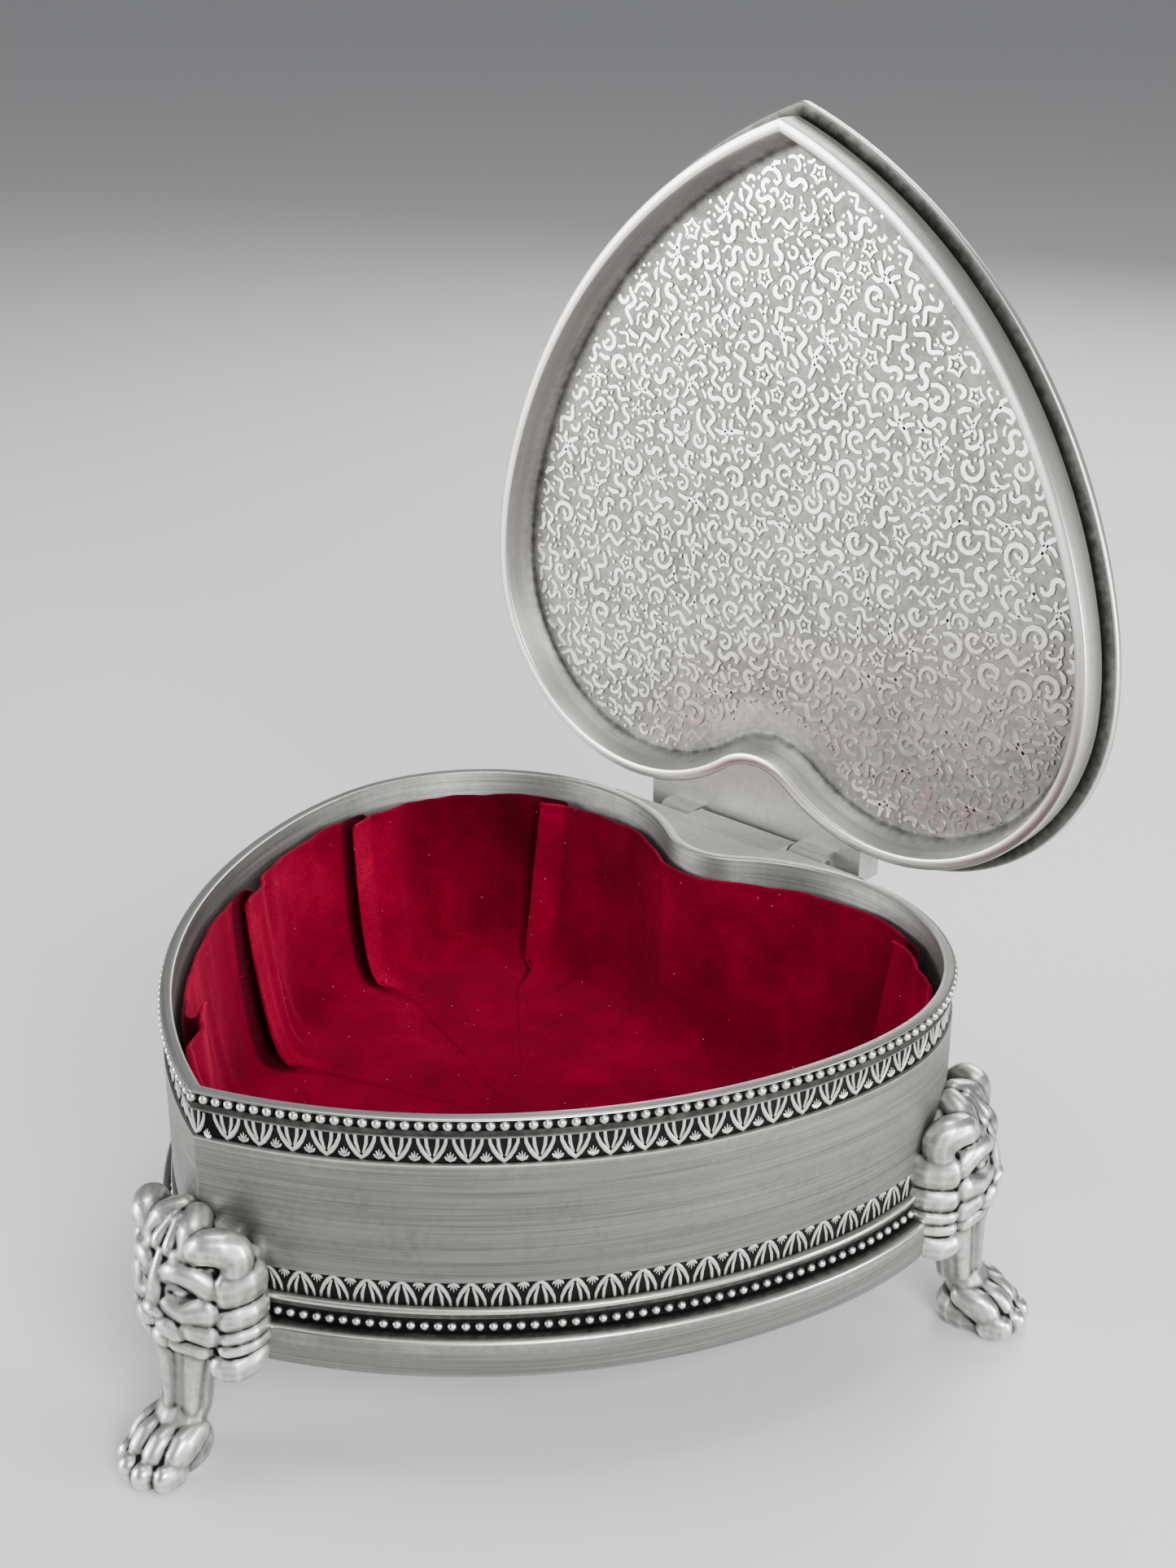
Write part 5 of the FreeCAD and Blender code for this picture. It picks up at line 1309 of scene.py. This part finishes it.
def velvet_material(name):
    """Short deep-crimson pile, crushed in patches, pale where it is seen edge-on."""
    mat, tree, shader = material(name, 0.0, Roughness=0.85)
    shader.inputs["Sheen Weight"].default_value = 0.22
    shader.inputs["Sheen Roughness"].default_value = 0.6
    shader.inputs["Sheen Tint"].default_value = (1.0, 0.05, 0.16, 1)
    shader.inputs["Specular IOR Level"].default_value = 0.02
    place = object_place(tree)
    crush = add(tree, "ShaderNodeTexNoise", None, Vector=place, Scale=55.0, Detail=4.0, Roughness=0.6)
    pile = noise(tree, place, 2600.0)
    tone = ramp(tree, crush.outputs["Fac"], [(0.30, (0.11, 0.0, 0.008)), (0.52, (0.20, 0.0, 0.016)),
                                             (0.75, (0.32, 0.0, 0.028))])
    fleck = ramp(tree, pile, [(0.35, (0.62,) * 3), (0.65, WHITE)])
    # the cloth's painted shade and highlight: 0 painted dark deep under a pleat, 1 painted bright on its crest
    lean = ramp(tree, wear_and_shade_mark(tree), [(0.0, (0.03,) * 3), (0.25, (0.3,) * 3), (0.52, (0.85,) * 3),
                                        (0.9, (1.15,) * 3)])
    shade = multiply(tree, multiply(tree, tone, fleck), lean)
    dust = add(tree, "ShaderNodeTexVoronoi", None, Vector=place, Scale=330.0)
    specks = add(tree, "ShaderNodeMath", {"operation": "LESS_THAN"}, in_0=dust.outputs["Distance"], in_1=0.03)
    dusted = blend(tree, specks.outputs[0], shade, (0.75, 0.35, 0.4, 1))
    tree.links.new(dusted, shader.inputs["Base Color"])
    bump(tree, shader, multiply_add(tree, crush.outputs["Fac"], 3.0, pile), 0.5, 0.25)
    return mat


velvet = velvet_material("crimson velvet")


# ------------------------------------------------------------ carried-over parts
def coat_cad_nodes():
    """Procedural finishes for the CAD parts that keep their shape."""
    steel = plain_metal("bright steel", (0.56, 0.57, 0.58), 0.28)
    finishes = {
        "steel": steel,
        "spring_steel": plain_metal("blued spring steel", (0.30, 0.32, 0.36), 0.30),
        "brass": plain_metal("brass", (0.72, 0.50, 0.20), 0.26),
        "base_metal": plain_metal("cast base metal", (0.42, 0.41, 0.39), 0.48, grain=500.0),
        "key_metal": plain_metal("nickelled key", (0.66, 0.62, 0.54), 0.24),
        "nylon": plain_metal("white nylon", (0.78, 0.77, 0.72), 0.5, metallic=0.0),
        "card": plain_metal("grey card", (0.30, 0.27, 0.23), 0.85, metallic=0.0),
        "clear_plastic": clear_plastic("clear plastic"),
    }
    replaced = {"body_shell", "lid_shell", "front_leg", "right_leg", "left_leg",
                "velvet_lining", "cover_velvet"}
    for part in frame["record"]["subparts"]:
        name = part["node"]
        if name in replaced:
            continue
        finish = hinge_metal if name == "lid_hinge_block" else finishes[part["material_slot"]]
        slots = frame["nodes"][name].data.materials
        slots.clear()
        slots.append(finish)


def clear_plastic(name):
    mat, tree, shader = material(name, 0.0, Transmission_Weight=1.0, IOR=1.49)
    place = object_place(tree)
    haze = add(tree, "ShaderNodeTexNoise", None, Vector=place, Scale=120.0, Detail=3.0).outputs["Fac"]
    gloss = add(tree, "ShaderNodeMapRange", None, Value=haze, To_Min=0.04, To_Max=0.16)
    tree.links.new(gloss.outputs[0], shader.inputs["Roughness"])
    tint = ramp(tree, haze, [(0.3, (0.90, 0.92, 0.93)), (0.7, (0.97, 0.98, 0.98))])
    tree.links.new(tint, shader.inputs["Base Color"])
    return mat


# ------------------------------------------------------------ light, floor, camera
def build_stage():
    bpy.ops.mesh.primitive_plane_add(size=60.0, location=(0, 0, 0))
    floor = bpy.context.object
    floor.name = "floor"
    mat, _, shader = material("pale floor", 0.0, Roughness=0.6)
    shader.inputs["Base Color"].default_value = (0.62, 0.62, 0.62, 1)
    floor.data.materials.append(mat)
    world = bpy.data.worlds.new("studio")
    bpy.context.scene.world = world
    world.use_nodes = True
    world.node_tree.nodes["Background"].inputs[0].default_value = (0.70, 0.71, 0.73, 1)
    world.node_tree.nodes["Background"].inputs[1].default_value = 0.42
    for name, place, size, power in (("key", (0.78, -0.38, 0.55), 0.45, 15.0),
                                     ("left", (-0.60, -0.68, 0.22), 0.45, 9.0),
                                     ("back", (-0.25, 0.75, 0.6), 0.5, 7.0),
                                     ("right", (0.85, 0.28, 0.16), 0.30, 8.0),
                                     ("top", (0.0, 0.0, 1.0), 0.5, 6.0)):
        lamp = bpy.data.lights.new(name, "AREA")
        lamp.size = size
        lamp.energy = power
        obj = link(bpy.data.objects.new(name, lamp))
        obj.location = place
        obj.rotation_euler = (Vector((0, 0, 0.07)) - Vector(place)).to_track_quat("-Z", "Y").to_euler()


CAMERA_ROLL = math.radians(0.27)


def build_camera():
    """Seen from the front right, a little above."""
    azimuth, elevation, distance = math.radians(42.64), math.radians(23.17), 381.5
    target = Vector((-1.04, -1.72 + WIDEST_Y, 22.47 + RIM_Z)) * MM
    back = Vector((math.sin(azimuth) * math.cos(elevation), -math.cos(azimuth) * math.cos(elevation),
                   math.sin(elevation)))
    data = bpy.data.cameras.new("camera")
    data.lens = 49.0
    data.sensor_width = 36.0
    camera = link(bpy.data.objects.new("camera", data))
    camera.location = target + back * distance * MM
    roll = Matrix.Rotation(CAMERA_ROLL, 3, "Z").to_quaternion()
    camera.rotation_euler = ((-back).to_track_quat("-Z", "Y") @ roll).to_euler()
    bpy.context.scene.camera = camera


for job in (build_stage, build_camera, build_body, build_hinge_web, build_bands, build_lid, build_relief,
            build_legs, build_lining, build_cover_cloth, coat_cad_nodes):
    job()
